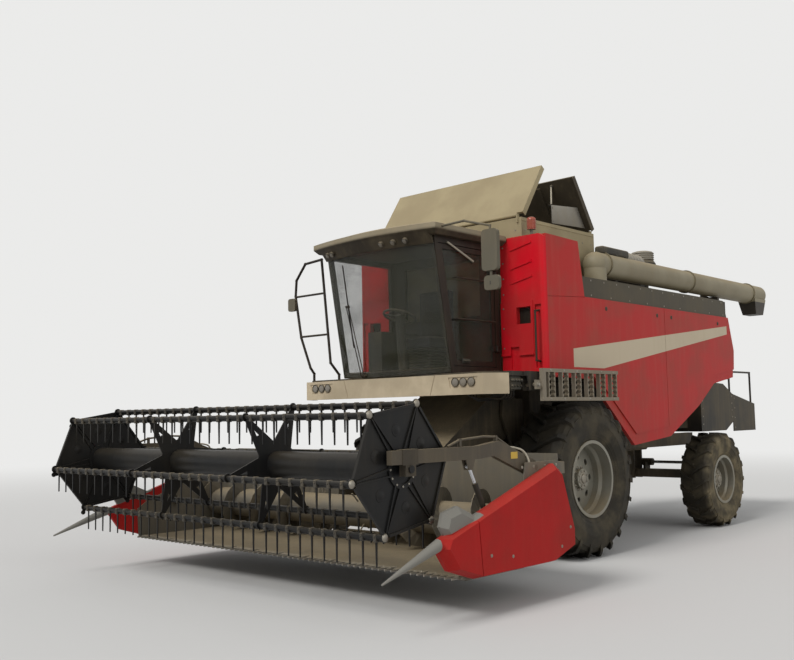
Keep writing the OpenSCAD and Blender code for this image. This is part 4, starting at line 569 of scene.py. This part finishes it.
def wheel_fittings(body, side, centre, disc, hub_end, nuts):
    """Wheel nuts on their studs, the hub's ringed cap, and the bolts round it."""
    mesh = bmesh.new()
    centre, axis = spot(*mirrored(side, centre)), (side, 0, 0)
    for y, z in around(nuts):
        place = placed(centre + Vector((side * disc, NUT_RING * y, NUT_RING * z)), axis)
        add_lathe(mesh, [(0, 0.028), (0.008, 0.028), (0.010, 0.025), (0.010, 0.0)], place, 8)
        add_nut(mesh, place, 0.030, 0.018)
        add_lathe(mesh, [(0.010, 0.004), (0.019, 0.003), (0.021, 0.001), (0.021, 0.0)], place, 12)
    cap = [(0, 0.030), (0.035, 0.028), (0.052, 0.020), (0.058, 0.008), (0.074, 0.006), (0.078, 0.0)]
    add_lathe(mesh, cap, placed(centre + Vector((side * hub_end, 0, 0)), axis), 32)
    for y, z in around(8, 0.5):
        seat = centre + Vector((side * hub_end, HUB_BOLT_RING * y, HUB_BOLT_RING * z))
        add_nut(mesh, placed(seat, axis), 0.019, 0.010)
    finish_piece(body + "_nuts", mesh, materials["knife_steel"], body)


def sidewall_rings(axle, side, centre, rings):
    """Moulded rings on both sidewalls of a tyre: each is a radius and its distance from the tyre's middle."""
    mesh = bmesh.new()
    for face in (1, -1):
        place = placed(spot(*centre), (face, 0, 0))
        for radius, out in rings:
            add_lathe(mesh, [(radius - 0.008, out - 0.006), (radius - 0.005, out + 0.003),
                             (radius + 0.005, out + 0.003), (radius + 0.008, out - 0.006)], place, 72)
    tyre = nodes[f"{axle}_tyre_{side}"]
    finish_piece(f"{axle}_tyre_{side}_rings", mesh, tyre.data.materials[0], f"{axle}_wheel_{side}")


for axle, centre, disc, hub_end, nuts in (("front", FRONT_WHEEL, 0.080, 0.130, 10),
                                          ("rear", REAR_WHEEL, 0.040, 0.090, 8)):
    for side, way in SIDES:
        wheel_fittings(f"{axle}_wheel_{side}", way, centre, disc, hub_end, nuts)
for side, way in SIDES:
    for axle, centre, rings in (("front", FRONT_WHEEL, ((0.500, 0.279), (0.640, 0.316), (0.770, 0.309))),
                                ("rear", REAR_WHEEL, ((0.385, 0.188), (0.480, 0.213), (0.570, 0.209)))):
        sidewall_rings(axle, side, mirrored(way, centre), rings)

# ---------------------------------------------------------------- reel

BATS, BAYS, TINES = 6, 3, 10        # tines in one bay of one bat
BAT_STEP = 60                       # degrees from bat to bat
BAY = REEL_WIDTH / BAYS
TINE_PITCH = 0.15
FLANGE_RING = 0.139
PLATE_FACE = 2.296                  # the left end plate's outer face, along X
DISH_SEATS = (2.2963, -2.2837)      # where the dishes stand on the two end plates, along X


def reel_place(turn, out=REEL_R):
    """(y, z) of a place on the reel: degrees from its foremost bat, and the distance from its axis."""
    a = math.radians(180 + REEL_TURN - turn)
    return REEL_Y + out * math.cos(a), REEL_Z + out * math.sin(a)


def tine_clips():
    """A moulded clip with its bolt where each tine meets its bat."""
    for i in range(BATS):
        y, z = reel_place(i * BAT_STEP)
        mesh = bmesh.new()
        for bay in range(BAYS):
            middle = -REEL_WIDTH / 2 + BAY * (bay + 0.5)
            for j in range(TINES):
                x = middle + (j - (TINES - 1) / 2) * TINE_PITCH
                low, high = spot(x - 0.017, y - 0.026, z - 0.040), spot(x + 0.017, y + 0.026, z + 0.025)
                add_box(mesh, low, high, 0.007, 1)
                add_nut(mesh, placed(spot(x, y - 0.026, z), FORE), 0.014, 0.006)
        finish_piece(f"bat_{i + 1}_tine_clips", mesh, materials["tine_clip"], f"tine_bat_{i + 1}")


def reel_plate_bolts():
    """Bolts round the middle flange of each end plate, and a bearing cap over each bat's eye."""
    mesh = bmesh.new()
    for side, x in ((LEFT, 2.309), (RIGHT, -2.301)):
        for y, z in around(12):
            add_nut(mesh, placed(spot(x, REEL_Y + FLANGE_RING * y, REEL_Z + FLANGE_RING * z), (side, 0, 0)),
                    0.017, 0.008)
    for i in range(BATS):
        cap = placed(spot(PLATE_FACE, *reel_place(i * BAT_STEP)), (LEFT, 0, 0))
        add_lathe(mesh, [(0, 0.012), (0.024, 0.010), (0.032, 0.004), (0.034, 0)], cap, 20)
    finish_piece("reel_plate_bolts", mesh, materials["knife_steel"], "reel")


def reel_plate_dishes():
    """Pressed black dish that closes each round opening of both end plates, midway between two bats."""
    mesh = bmesh.new()
    opening = 0.08 * REEL_R
    profile = [(0, 0.008), (0.022, 0.007), (0.034, 0.0025), (opening + 0.006, 0.0025), (opening + 0.007, 0)]
    for i in range(BATS):
        for x in DISH_SEATS:
            place = placed(spot(x, *reel_place((i - 0.5) * BAT_STEP, 0.56 * REEL_R)), (LEFT, 0, 0))
            add_lathe(mesh, profile, place, 32)
    finish_piece("reel_plate_dishes", mesh, materials["reel_black"], "reel")


tine_clips()
reel_plate_bolts()
reel_plate_dishes()

# ---------------------------------------------------------------- lamps

FASCIA_LAMPS, FASCIA_LAMP_R = (1.0, 1.11, 1.22), 0.046      # places along X, on both sides
ROOF_LAMPS, ROOF_LAMP_R = (-0.72, -0.63, 0.22, 0.39, 0.55), 0.032
ROOF_LAMP_WAY = Vector((0, -0.766, -0.643))
LENS_SEAT = 0.0143                  # how far the roof lamps' glass stands before the middle of their housings


def lamp_fittings():
    """Rims and lenses of the six fascia lamps and the five roof lamps."""
    rims, lenses = bmesh.new(), bmesh.new()
    places = [(placed(spot(side * x, -1.7783, 2.015), FORE), FASCIA_LAMP_R)
              for side in (LEFT, RIGHT) for x in FASCIA_LAMPS]
    for x in ROOF_LAMPS:
        visor_bow = 0.13 * (x / 0.97) ** 2
        middle = spot(x, -2.078 + visor_bow, 3.583)
        places.append((placed(middle + LENS_SEAT * ROOF_LAMP_WAY, ROOF_LAMP_WAY), ROOF_LAMP_R))
    for place, r in places:
        add_lathe(rims, [(r - 0.004, 0.0), (r - 0.004, 0.007), (r, 0.010), (r + 0.003, 0.008),
                         (r + 0.003, -0.004)], place, 36)
        add_lathe(lenses, [(0, 0.0095), (r * 0.35, 0.0092), (r * 0.7, 0.0075), (r - 0.004, 0.004),
                           (r - 0.004, 0)], place, 36)
    finish_piece("lamp_rims", rims, materials["dark_plastic"], "chassis")
    finish_piece("lamp_lenses", lenses, materials["lamp_glass"], "chassis")


def beacon_dome():
    """Ribbed dome of the beacon over the left front wall."""
    mesh = bmesh.new()
    profile = [(0.0505, 0.0), *ribs(7, 0.012, 0.015, 0.0505, 0.0535, (0.004, 0.009, 0.013)),
               (0.050, 0.124), (0.043, 0.136), (0.028, 0.143), (0, 0.146)]
    add_lathe(mesh, profile, placed(spot(1.3, -0.70, 3.7703), UP), 32)
    finish_piece("beacon_dome", mesh, materials["beacon_lens"], "chassis")


lamp_fittings()
beacon_dome()

# ---------------------------------------------------------------- cab

GLASS_FOOT = (-1.654, 2.136)        # the windscreen's lower edge at its ends, in (y, z)
GLASS_LEAN = math.atan2(0.260, 1.490)
GLASS_BOW, GLASS_HALF = 0.11, 0.84
WIPER_PIVOTS = (-0.38, -0.43)
BLADE_X = -0.52


def windscreen_wiper():
    """Pantograph arm and blade on the outside of the bowed windscreen."""
    up = Vector((0, -math.sin(GLASS_LEAN), math.cos(GLASS_LEAN)))
    out = Vector((0, -math.cos(GLASS_LEAN), -math.sin(GLASS_LEAN)))

    def on_glass(x, h, off):
        """A place off the glass: its X, how far up the glass, and how far before it."""
        bow = GLASS_BOW * (1 - (x / GLASS_HALF) ** 2)
        return spot(x, *GLASS_FOOT) + up * h + out * (bow + off)

    left, right = WIPER_PIVOTS
    arms = [[on_glass(left, 0.02, 0.030), on_glass(-0.44, 0.45, 0.030), on_glass(-0.50, 0.86, 0.026)],
            [on_glass(right, 0.02, 0.030), on_glass(-0.49, 0.45, 0.030), on_glass(-0.54, 0.84, 0.026)]]
    blade = [on_glass(BLADE_X, h, 0.012) for h in (0.36, 0.60, 0.85, 1.10, 1.34)]
    tube("wiper_arms", arms, 0.006, materials["cab_dark"], "chassis", smooth=False)
    tube("wiper_blade", [blade], 0.008, materials["tyre_trim"], "chassis", smooth=False)
    mesh = bmesh.new()
    for x in WIPER_PIVOTS:
        add_lathe(mesh, [(0, 0.030), (0.012, 0.030), (0.016, 0.024), (0.018, 0)],
                  placed(on_glass(x, 0.02, 0), out), 16)
    add_box(mesh, (-0.030, -0.016, 0.014), (0.030, 0.016, 0.034), 0.005,
            place=placed(on_glass(BLADE_X, 0.85, 0), out))
    finish_piece("wiper_spindles", mesh, materials["cab_dark"], "chassis")


def door_fittings():
    """Door handle on its plate, the caps of the hinges, and the pale stay with a cap at each end."""
    mesh = bmesh.new()
    add_box(mesh, spot(0.843, -1.46, 2.235), spot(0.856, -1.33, 2.285), 0.006)
    add_box(mesh, spot(0.860, -1.45, 2.250), spot(0.884, -1.35, 2.270), 0.008, 3)
    for y in (-1.44, -1.36):
        add_box(mesh, spot(0.850, y - 0.008, 2.252), spot(0.870, y + 0.008, 2.268), 0.003, 1)
    for z in (2.42, 3.28):
        add_lathe(mesh, [(0, 0.010), (0.010, 0.009), (0.014, 0.004), (0.0145, 0)],
                  placed(spot(0.866, -0.835, z + 0.030), UP), 16)
    stay = ((-1.69, 3.565), (-1.24, 3.395))
    for end in stay:
        add_lathe(mesh, [(0, 0.026), (0.014, 0.024), (0.018, 0.018), (0.020, 0)],
                  placed(spot(0.832, *end), (LEFT, 0, 0)), 16)
    finish_piece("door_handle", mesh, materials["dark_plastic"], "door")
    tube("door_stay", [[spot(0.866, *end) for end in stay]], 0.011, materials["pale_hose"], "door",
         smooth=False)


def mirror_faces():
    """Silvered faces on the backs of the mirror heads, and the clamps on their tube."""
    mesh = bmesh.new()
    for x0, x1, z0, z1, y in ((1.56, 1.72, 3.15, 3.54, -1.910), (1.58, 1.73, 2.95, 3.06, -1.915),
                              (-1.625, -1.525, 3.015, 3.145, -1.8163)):
        add_box(mesh, spot(x0, y - 0.001, z0), spot(x1, y + 0.003, z1), 0.002)
    finish_piece("mirror_faces", mesh, materials["rod_chrome"], "chassis")
    mesh = bmesh.new()
    for z in (3.20, 3.43, 2.985):
        add_ring(mesh, placed(spot(1.64, -1.935, z), UP), 0.0125, 0.021, 0, 0.04, 0.003, 20)
    finish_piece("mirror_clamps", mesh, materials["dark_plastic"], "chassis")


def seat_frame_and_pads():
    """Suspension base, pan, crowned cushion and backrest of the operator's seat."""
    mesh = bmesh.new()
    add_box(mesh, spot(-0.19, -1.24, 2.1806), spot(0.19, -0.91, 2.215), 0.008)
    for k in range(6):
        half, fold = 0.165 - 0.004 * (k % 2), 2.22 + 0.033 * k
        add_box(mesh, spot(-half, -1.225, fold), spot(half, -0.925, fold + 0.03), 0.010)
    add_box(mesh, spot(-0.23, -1.30, 2.425), spot(0.23, -0.88, 2.455), 0.012)
    add_box(mesh, spot(-0.17, -0.835, 2.45), spot(0.17, -0.822, 3.10), 0.006)
    finish_piece("seat_base", mesh, materials["dark_plastic"], "chassis")
    cushion = soft_pad("seat_cushion", spot(-0.255, -1.325, 2.458), spot(0.255, -0.935, 2.575), UP, 0.030)
    soft_pad("seat_backrest", spot(-0.235, -0.928, 2.590), spot(0.235, -0.838, 3.165), FORE, 0.022)
    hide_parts("operator_seat")


def soft_pad(name, low, high, front, crown):
    """Crowned closed pad: sewn channels across its front face, sides that pull in between the corners."""
    mesh = bmesh.new()
    size, middle = high - low, (high + low) / 2
    bmesh.ops.create_cube(mesh, size=1, matrix=Matrix.Translation(middle) @ Matrix.Diagonal((*size, 1)))
    bmesh.ops.subdivide_edges(mesh, edges=mesh.edges[:], cuts=23, use_grid_fill=True)
    front = Vector(front)
    along = Vector(AFT) if abs(front.z) > 0.5 else Vector(UP)
    seam, wide, deep = 0.62, 0.05, 0.010
    for v in mesh.verts:
        u = Vector((2 * (v.co[k] - middle[k]) / size[k] for k in range(3)))
        x, a, f = u.x, u.dot(along), u.dot(front)
        bulge = (1 - x * x) * (1 - a * a)
        groove = sum(math.exp(-((a - line) / wide) ** 2) for line in (-0.38, 0.0, 0.38))
        side_seam = math.exp(-((abs(x) - seam) / wide) ** 2)
        if f > 0.98:
            v.co += front * (crown * bulge ** 0.5 - deep * max(groove * (abs(x) < seam), side_seam))
        pull = deep * (1 - abs(f)) * 2
        v.co.x -= pull * x * (1 - a * a)
        v.co -= along * pull * a * (1 - x * x)
    bevel(mesh, [e for e in mesh.edges if e.calc_face_angle(0) > 1.0], 0.014, 4)
    piece = finish_piece(name, mesh, materials["soft_trim"], "chassis", 80)
    return piece


windscreen_wiper()
door_fittings()
mirror_faces()
seat_frame_and_pads()

# ---------------------------------------------------------------- unloading auger, tank and body

def auger_flanges():
    """Bolted flanges of the unloading auger's tube, and the cap on its end."""
    mesh = bmesh.new()
    ring = 0.158
    for y in (0.80, 3.10, 5.18):
        add_ring(mesh, placed(spot(AUGER_X, y, AUGER_Z), AFT), 0.1499, 0.166, -0.010, 0.010, 0.003, 48)
        for across, up in around(12, 0.5):
            for side in (1, -1):
                at = spot(AUGER_X + ring * across, y + 0.010 * side, AUGER_Z + ring * up)
                add_nut(mesh, placed(at, (0, side, 0)), 0.011, 0.006)
    add_lathe(mesh, [(0, 0.006), (0.030, 0.006), (0.034, 0.002), (0.10, 0.002), (0.1, 0)],
              placed(spot(AUGER_X, 5.64, AUGER_Z), AFT), 32)
    finish_piece("auger_flanges", mesh, materials["auger_olive"], "unloader")


def panel_fittings():
    """Latches of the side panels, and bolts along the edges of the side panels and the front walls."""
    latches, rows = bmesh.new(), []
    for side in (LEFT, RIGHT):
        for y in (0.60, 1.90, 2.30, 3.75):
            place = placed(spot(1.47 * side, y, 2.93), (side, 0, 0))
            add_lathe(latches, [(0, 0.005), (0.020, 0.005), (0.026, 0.003), (0.028, 0)], place, 24)
            add_box(latches, (-0.004, -0.017, 0.004), (0.004, 0.017, 0.010), 0.002, 1, place)
        panel, wall = 1.4485 * side, 0.90 * side
        rows += [((panel, 0.30, 3.255), (panel, 3.95, 3.255), 13, (side, 0, 0)),
                 ((panel, 0.30, 3.075), (panel, 4.00, 3.075), 9, (side, 0, 0)),
                 ((wall, -0.73, 3.05), (wall, -0.73, 3.60), 4, FORE),
                 ((wall, -0.742, 2.42), (wall, -0.742, 2.88), 3, FORE)]
    finish_piece("panel_latches", latches, materials["dark_plastic"], "chassis")
    bolt_rows("panel_bolts", rows, 0.012, 0.005, "chassis")


def tank_rim_trim():
    """Rolled edge along both sides of the tank's rim, and the rim's bolts."""
    mesh, rows = bmesh.new(), []
    for side in (LEFT, RIGHT):
        x = side * 1.140
        add_box(mesh, spot(x - 0.006, -0.66, 3.905), spot(x + 0.006, 0.91, 3.925), 0.005)
        rows.append(((x, -0.60, 3.80), (x, 0.85, 3.80), 8, (side, 0, 0)))
    finish_piece("tank_rim_beads", mesh, materials["tank_tan"], "chassis")
    rows += [((-1.05, -0.6697, 3.80), (1.05, -0.6697, 3.80), 9, FORE),
             ((-1.05, 0.9197, 3.80), (1.05, 0.9197, 3.80), 9, AFT)]
    bolt_rows("tank_rim_bolts", rows, 0.012, 0.005, "chassis")


def hood_bolts():
    """Bolts down the sides of the straw hood and of the spreader behind it."""
    rows = []
    for side in (LEFT, RIGHT):
        x, facing = 0.95 * side, (side, 0, 0)
        rows += [((x, 4.24, 1.45), (x, 4.24, 2.05), 6, facing), ((x, 5.30, 1.55), (x, 5.30, 1.88), 4, facing),
                 ((x, 5.40, 1.38), (x, 5.40, 1.85), 4, facing)]
    bolt_rows("hood_bolts", rows, 0.014, 0.006, "chassis")


def cover_cheek():
    """Pale sheet that closes the rear cover's left side and folds into the tank with it, and its stay."""
    along = Vector((0, -math.cos(COVER_LEAN), math.sin(COVER_LEAN)))
    inward = Vector((0, -math.sin(COVER_LEAN), -math.cos(COVER_LEAN)))
    axes = Matrix((Vector((1, 0, 0)), along, inward)).transposed().to_4x4()
    place = Matrix.Translation(spot(0, *COVER_HINGE)) @ axes
    stand = Matrix(((0, 0, 1, 1.049), (1, 0, 0, 0), (0, 1, 0, 0), (0, 0, 0, 1)))
    outline = [(0.08, 0.022), (0.375, 0.022), (0.661, 0.543), (0.470, 0.668)]
    mesh = bmesh.new()
    add_plate(mesh, outline, 0.006, place @ stand, 0.002)
    for a, n in ((0.14, 0.06), (0.34, 0.06), (0.62, 0.54), (0.485, 0.625)):
        bolt = Matrix.Translation((1.055, a, n)) @ Matrix.Rotation(math.pi / 2, 4, "Y")
        add_nut(mesh, place @ bolt, 0.018, 0.007)
    finish_piece("cover_cheek", mesh, materials["pale_sheet"], "rear_cover")
    tube("cover_stay", [[place @ Vector((1.040, 0.645, 0.530)), place @ Vector((0.80, 0.72, 0.030))]], 0.010,
         materials["pale_hose"], "rear_cover", smooth=False)
    mesh = bmesh.new()
    lid_end = Matrix.Translation((0.80, 0.72, 0.0125))
    sheet_end = Matrix.Translation((1.049, 0.645, 0.530)) @ Matrix.Rotation(-math.pi / 2, 4, "Y")
    for end in (lid_end, sheet_end):
        add_lathe(mesh, [(0, 0.034), (0.016, 0.032), (0.020, 0.026), (0.022, 0)], place @ end, 20)
    finish_piece("cover_stay_ends", mesh, materials["dark_plastic"], "rear_cover")


def air_duct():
    """Ribbed duct from the engine hood to the intake, and the ribbed cap of the intake."""
    mesh = bmesh.new()
    duct = [(0, 0.0), (0.118, 0.0), *ribs(9, 0.015, 0.085, 0.118, 0.132, (0.012, 0.045, 0.060)),
            (0.118, 0.79), (0, 0.79)]
    cap = [(0.15, -0.02), *ribs(4, 0.010, 0.030, 0.155, 0.168, (0.006, 0.016, 0.022)),
           (0.150, 0.132), (0.10, 0.146), (0, 0.150)]
    add_lathe(mesh, duct, placed(spot(0.70, 2.06, 3.8125), AFT), 36)
    add_lathe(mesh, cap, placed(spot(0.70, 3.0, 3.870), UP), 40)
    finish_piece("air_duct", mesh, materials["pale_sheet"], "chassis")


def auger_drive_cover():
    """Rounded cover of the drive on top of the unloading auger, by its pivot."""
    mesh = bmesh.new()
    add_box(mesh, spot(1.245, 0.74, 3.648), spot(1.375, 1.40, 3.752), 0.030, 4)
    for y in (0.84, 1.07, 1.30):
        add_box(mesh, spot(1.232, y - 0.018, 3.646), spot(1.388, y + 0.018, 3.662), 0.004)
    finish_piece("auger_drive_cover", mesh, materials["dark_plastic"], "unloader")


auger_flanges()
cover_cheek()
air_duct()
auger_drive_cover()
panel_fittings()
tank_rim_trim()
hood_bolts()

# ---------------------------------------------------------------- platform

def platform_end():
    """Valve block with its ports and lines under the platform's left end, behind the fascia."""
    mesh, lines = bmesh.new(), []
    add_box(mesh, spot(1.36, -1.505, 1.925), spot(1.53, -1.315, 2.066), 0.008)
    for k in range(4):
        aft = 0.05 * k
        y = -1.485 + aft
        add_lathe(mesh, [(0, 0.036), (0.010, 0.035), (0.016, 0.028), (0.018, 0)],
                  placed(spot(1.53, y, 2.02), (LEFT, 0, 0)), 16)
        add_lathe(mesh, [(0, 0.022), (0.009, 0.022), (0.013, 0.012), (0.013, 0)],
                  placed(spot(1.53, y, 1.96), (LEFT, 0, 0)), 12)
        add_nut(mesh, placed(spot(1.44, y, 1.925), DOWN), 0.024, 0.016)
        lines.append([spot(1.44, y, 1.912), spot(1.43, -1.48 + aft, 1.86), spot(1.20, -1.45 + aft, 1.84),
                      spot(0.95, -1.36 + aft, 1.85 - 0.01 * k), spot(0.722, -1.22 + aft, 1.92 - 0.02 * k),
                      spot(0.71, -1.10 + aft, 2.03)])
    finish_piece("valve_block", mesh, materials["dark_plastic"], "chassis")
    tube("valve_lines", lines, 0.009, materials["tyre_trim"], "chassis")


def platform_grip():
    """Raised bars of the platform's tread plate, slanted left and right in turn."""
    mesh = bmesh.new()
    pitch = 0.06
    for side in (LEFT, RIGHT):
        for i in range(9):
            for j in range(14):
                at = spot(side * (0.93 + pitch * i), -1.62 + pitch * j, 2.12)
                turn = Matrix.Rotation(math.radians(45 if (i + j) % 2 else -45), 4, "Z")
                add_box(mesh, (-0.016, -0.004, -0.001), (0.016, 0.004, 0.0022), 0.002, 1,
                        Matrix.Translation(at) @ turn)
    finish_piece("platform_grip", mesh, materials["frame_paint"], "chassis")


def one_bolt(side, place):
    """A row of one bolt that faces outward on one side."""
    place = mirrored(side, place)
    return place, place, 1, (side, 0, 0)


def ladder_bolts():
    """A bolt at each end of every tread, and the nut of the ladder's pivot with its washer."""
    rows = [one_bolt(LEFT, (1.69, -0.99 + 0.262 * i, z)) for i in range(6) for z in (1.82, 2.13)]
    bolt_rows("ladder_bolts", rows, 0.016, 0.007, "boarding_ladder")
    mesh = bmesh.new()
    pivot = placed(spot(1.656, -1.18, 1.975), (LEFT, 0, 0))
    add_nut(mesh, pivot, 0.036, 0.018)
    add_lathe(mesh, [(0.014, 0.004), (0.030, 0.004), (0.032, 0)], pivot, 20)
    finish_piece("ladder_pivot_nut", mesh, materials["knife_steel"], "boarding_ladder")


platform_end()
platform_grip()
ladder_bolts()

# ---------------------------------------------------------------- header

GUARD_PITCH, KNIFE_END = 0.0762, 2.424


def header_bolts():
    """Bolts along the header's back sheet, and on the sheets and outer faces of its end panels."""
    rows = [((-2.36, -1.921, 1.15), (2.36, -1.921, 1.15), 33, AFT)]
    for side in (LEFT, RIGHT):
        x = side * 2.4425
        rows += [((x, -2.62, 1.19), (x, -2.08, 1.19), 4, (side, 0, 0)),
                 ((x, -3.36, 0.62), (x, -2.70, 0.86), 4, (side, 0, 0))]
        rows += [one_bolt(side, (2.5605, y, z))
                 for y, z in ((-2.20, 0.46), (-2.95, 0.46), (-3.25, 0.50), (-2.05, 0.62))]
    bolt_rows("header_bolts", rows, 0.016, 0.006, "header")


def guard_bolts():
    """The head of each knife guard's bolt, and the clips that hold the knife down."""
    mesh = bmesh.new()
    count = int(2 * KNIFE_END / GUARD_PITCH)
    for i in range(count):
        x = (i - (count - 1) / 2) * GUARD_PITCH
        add_lathe(mesh, [(0, 0.006), (0.006, 0.005), (0.009, 0)],
                  placed(spot(x + 0.022, -3.412, 0.334), UP), 8)
        if i % 5 == 2:
            add_box(mesh, spot(x - 0.018, -3.475, 0.337), spot(x + 0.018, -3.40, 0.345), 0.003, 1)
    finish_piece("guard_bolts", mesh, materials["knife_steel"], "header")


def arm_fittings():
    """Hose from each reel cylinder, and the tag of the left arm."""
    run = ((0, -2.70, 1.373), (0, -2.60, 1.36), (0.02, -2.52, 1.33), (0.045, -2.475, 1.25),
           (0.052, -2.47, 1.17))
    for name, side in SIDES:
        hose = [spot(side * (2.3665 + out), y, z) for out, y, z in run]
        tube(f"reel_arm_{name}_hose", [hose], 0.010, materials["pale_hose"], "header")
    mesh = bmesh.new()
    add_box(mesh, spot(2.395, -2.72, 1.27), spot(2.3975, -2.62, 1.33), 0.001, 1)
    finish_piece("arm_tag", mesh, materials["yellow_tag"], "arm_pair")


header_bolts()
guard_bolts()
arm_fittings()

# ---------------------------------------------------------------- camera, floor and light

CAMERA_AT = Vector((7.427, -10.373, 1.675))
YAW, PITCH, ROLL = (math.radians(a) for a in (42.924, 5.165, -1.067))
LENS_PX, WIDTH_PX, SENSOR = 942.75, 794, 36.0
PALE = (0.83, 0.83, 0.82, 1)        # the background
SKY = (0.95, 0.97, 1.0, 1)
SKY_STRENGTH = 0.55
FLOOR_GREY = (0.57, 0.56, 0.54, 1)
FLOOR_FADE = (9, 30)                # where the floor starts and ends turning into the background

ahead = Vector((-math.sin(YAW) * math.cos(PITCH), math.cos(YAW) * math.cos(PITCH), math.sin(PITCH)))
right = Vector((math.cos(YAW), math.sin(YAW), 0))
above = right.cross(ahead)
rolled_right = math.cos(ROLL) * right + math.sin(ROLL) * above
rolled_above = -math.sin(ROLL) * right + math.cos(ROLL) * above
lens = bpy.data.cameras.new("camera")
lens.sensor_width = SENSOR
lens.lens = LENS_PX / WIDTH_PX * SENSOR
lens.clip_end = 500
camera = bpy.data.objects.new("camera", lens)
turn = Matrix((rolled_right, rolled_above, -ahead)).transposed().to_4x4()
camera.matrix_world = Matrix.Translation(CAMERA_AT) @ turn
scene.collection.objects.link(camera)
scene.camera = camera


def pale_background(tree):
    """A factor that is 1 for rays that should see the pale background."""
    path = tree.nodes.new("ShaderNodeLightPath")
    seen = maths(tree, "MAXIMUM", path.outputs["Is Camera Ray"], path.outputs["Is Glossy Ray"])
    return maths(tree, "MAXIMUM", seen, path.outputs["Is Transmission Ray"])


def mixed_surface(tree, factor, first, second, output):
    """Sends a mix of two shaders to the output."""
    mix = tree.nodes.new("ShaderNodeMixShader")
    link(tree, factor, mix.inputs[0])
    link(tree, first.outputs[0], mix.inputs[1])
    link(tree, second.outputs[0], mix.inputs[2])
    link(tree, mix.outputs[0], tree.nodes[output].inputs["Surface"])


def make_floor():
    """Matt floor that turns into the background far out."""
    mesh = bmesh.new()
    bmesh.ops.create_circle(mesh, cap_ends=True, segments=64, radius=120)
    data = bpy.data.meshes.new("floor")
    mesh.to_mesh(data)
    mesh.free()
    floor = bpy.data.objects.new("floor", data)
    scene.collection.objects.link(floor)
    material, tree, shader = new_material("floor")
    shader.inputs["Base Color"].default_value = FLOOR_GREY
    shader.inputs["Roughness"].default_value = 0.9
    shader.inputs["Specular IOR Level"].default_value = 0.1
    far = ramp(tree, length(tree, mapped(tree, (1, 1, 0))), *FLOOR_FADE)
    glow = tree.nodes.new("ShaderNodeEmission")
    glow.inputs["Color"].default_value = PALE
    mixed_surface(tree, maths(tree, "MULTIPLY", far, pale_background(tree)), shader, glow, "Material Output")
    data.materials.append(material)
    floor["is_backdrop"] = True


def make_world():
    """Pale sky light, with the background's own colour where the background is seen."""
    world = bpy.data.worlds.new("studio")
    scene.world = world
    world.use_nodes = True
    tree = world.node_tree
    lit = tree.nodes["Background"]
    lit.inputs["Color"].default_value = SKY
    lit.inputs["Strength"].default_value = SKY_STRENGTH
    shown = tree.nodes.new("ShaderNodeBackground")
    shown.inputs["Color"].default_value = PALE
    shown.inputs["Strength"].default_value = 1.0
    mixed_surface(tree, pale_background(tree), lit, shown, "World Output")


def soft_sun(name, towards, strength, degrees):
    light = bpy.data.lights.new(name, "SUN")
    light.energy = strength
    light.angle = math.radians(degrees)
    lamp = bpy.data.objects.new(name, light)
    lamp.rotation_mode = "QUATERNION"
    lamp.rotation_quaternion = Vector(towards).to_track_quat("-Z", "Y")
    scene.collection.objects.link(lamp)


make_floor()
make_world()
soft_sun("key light", (0.02, 0.78, -0.80), strength=2.1, degrees=22)
soft_sun("side light", (-0.9, 0.15, -0.45), strength=0.55, degrees=40)
scene.view_settings.view_transform = "Standard"

low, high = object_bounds()
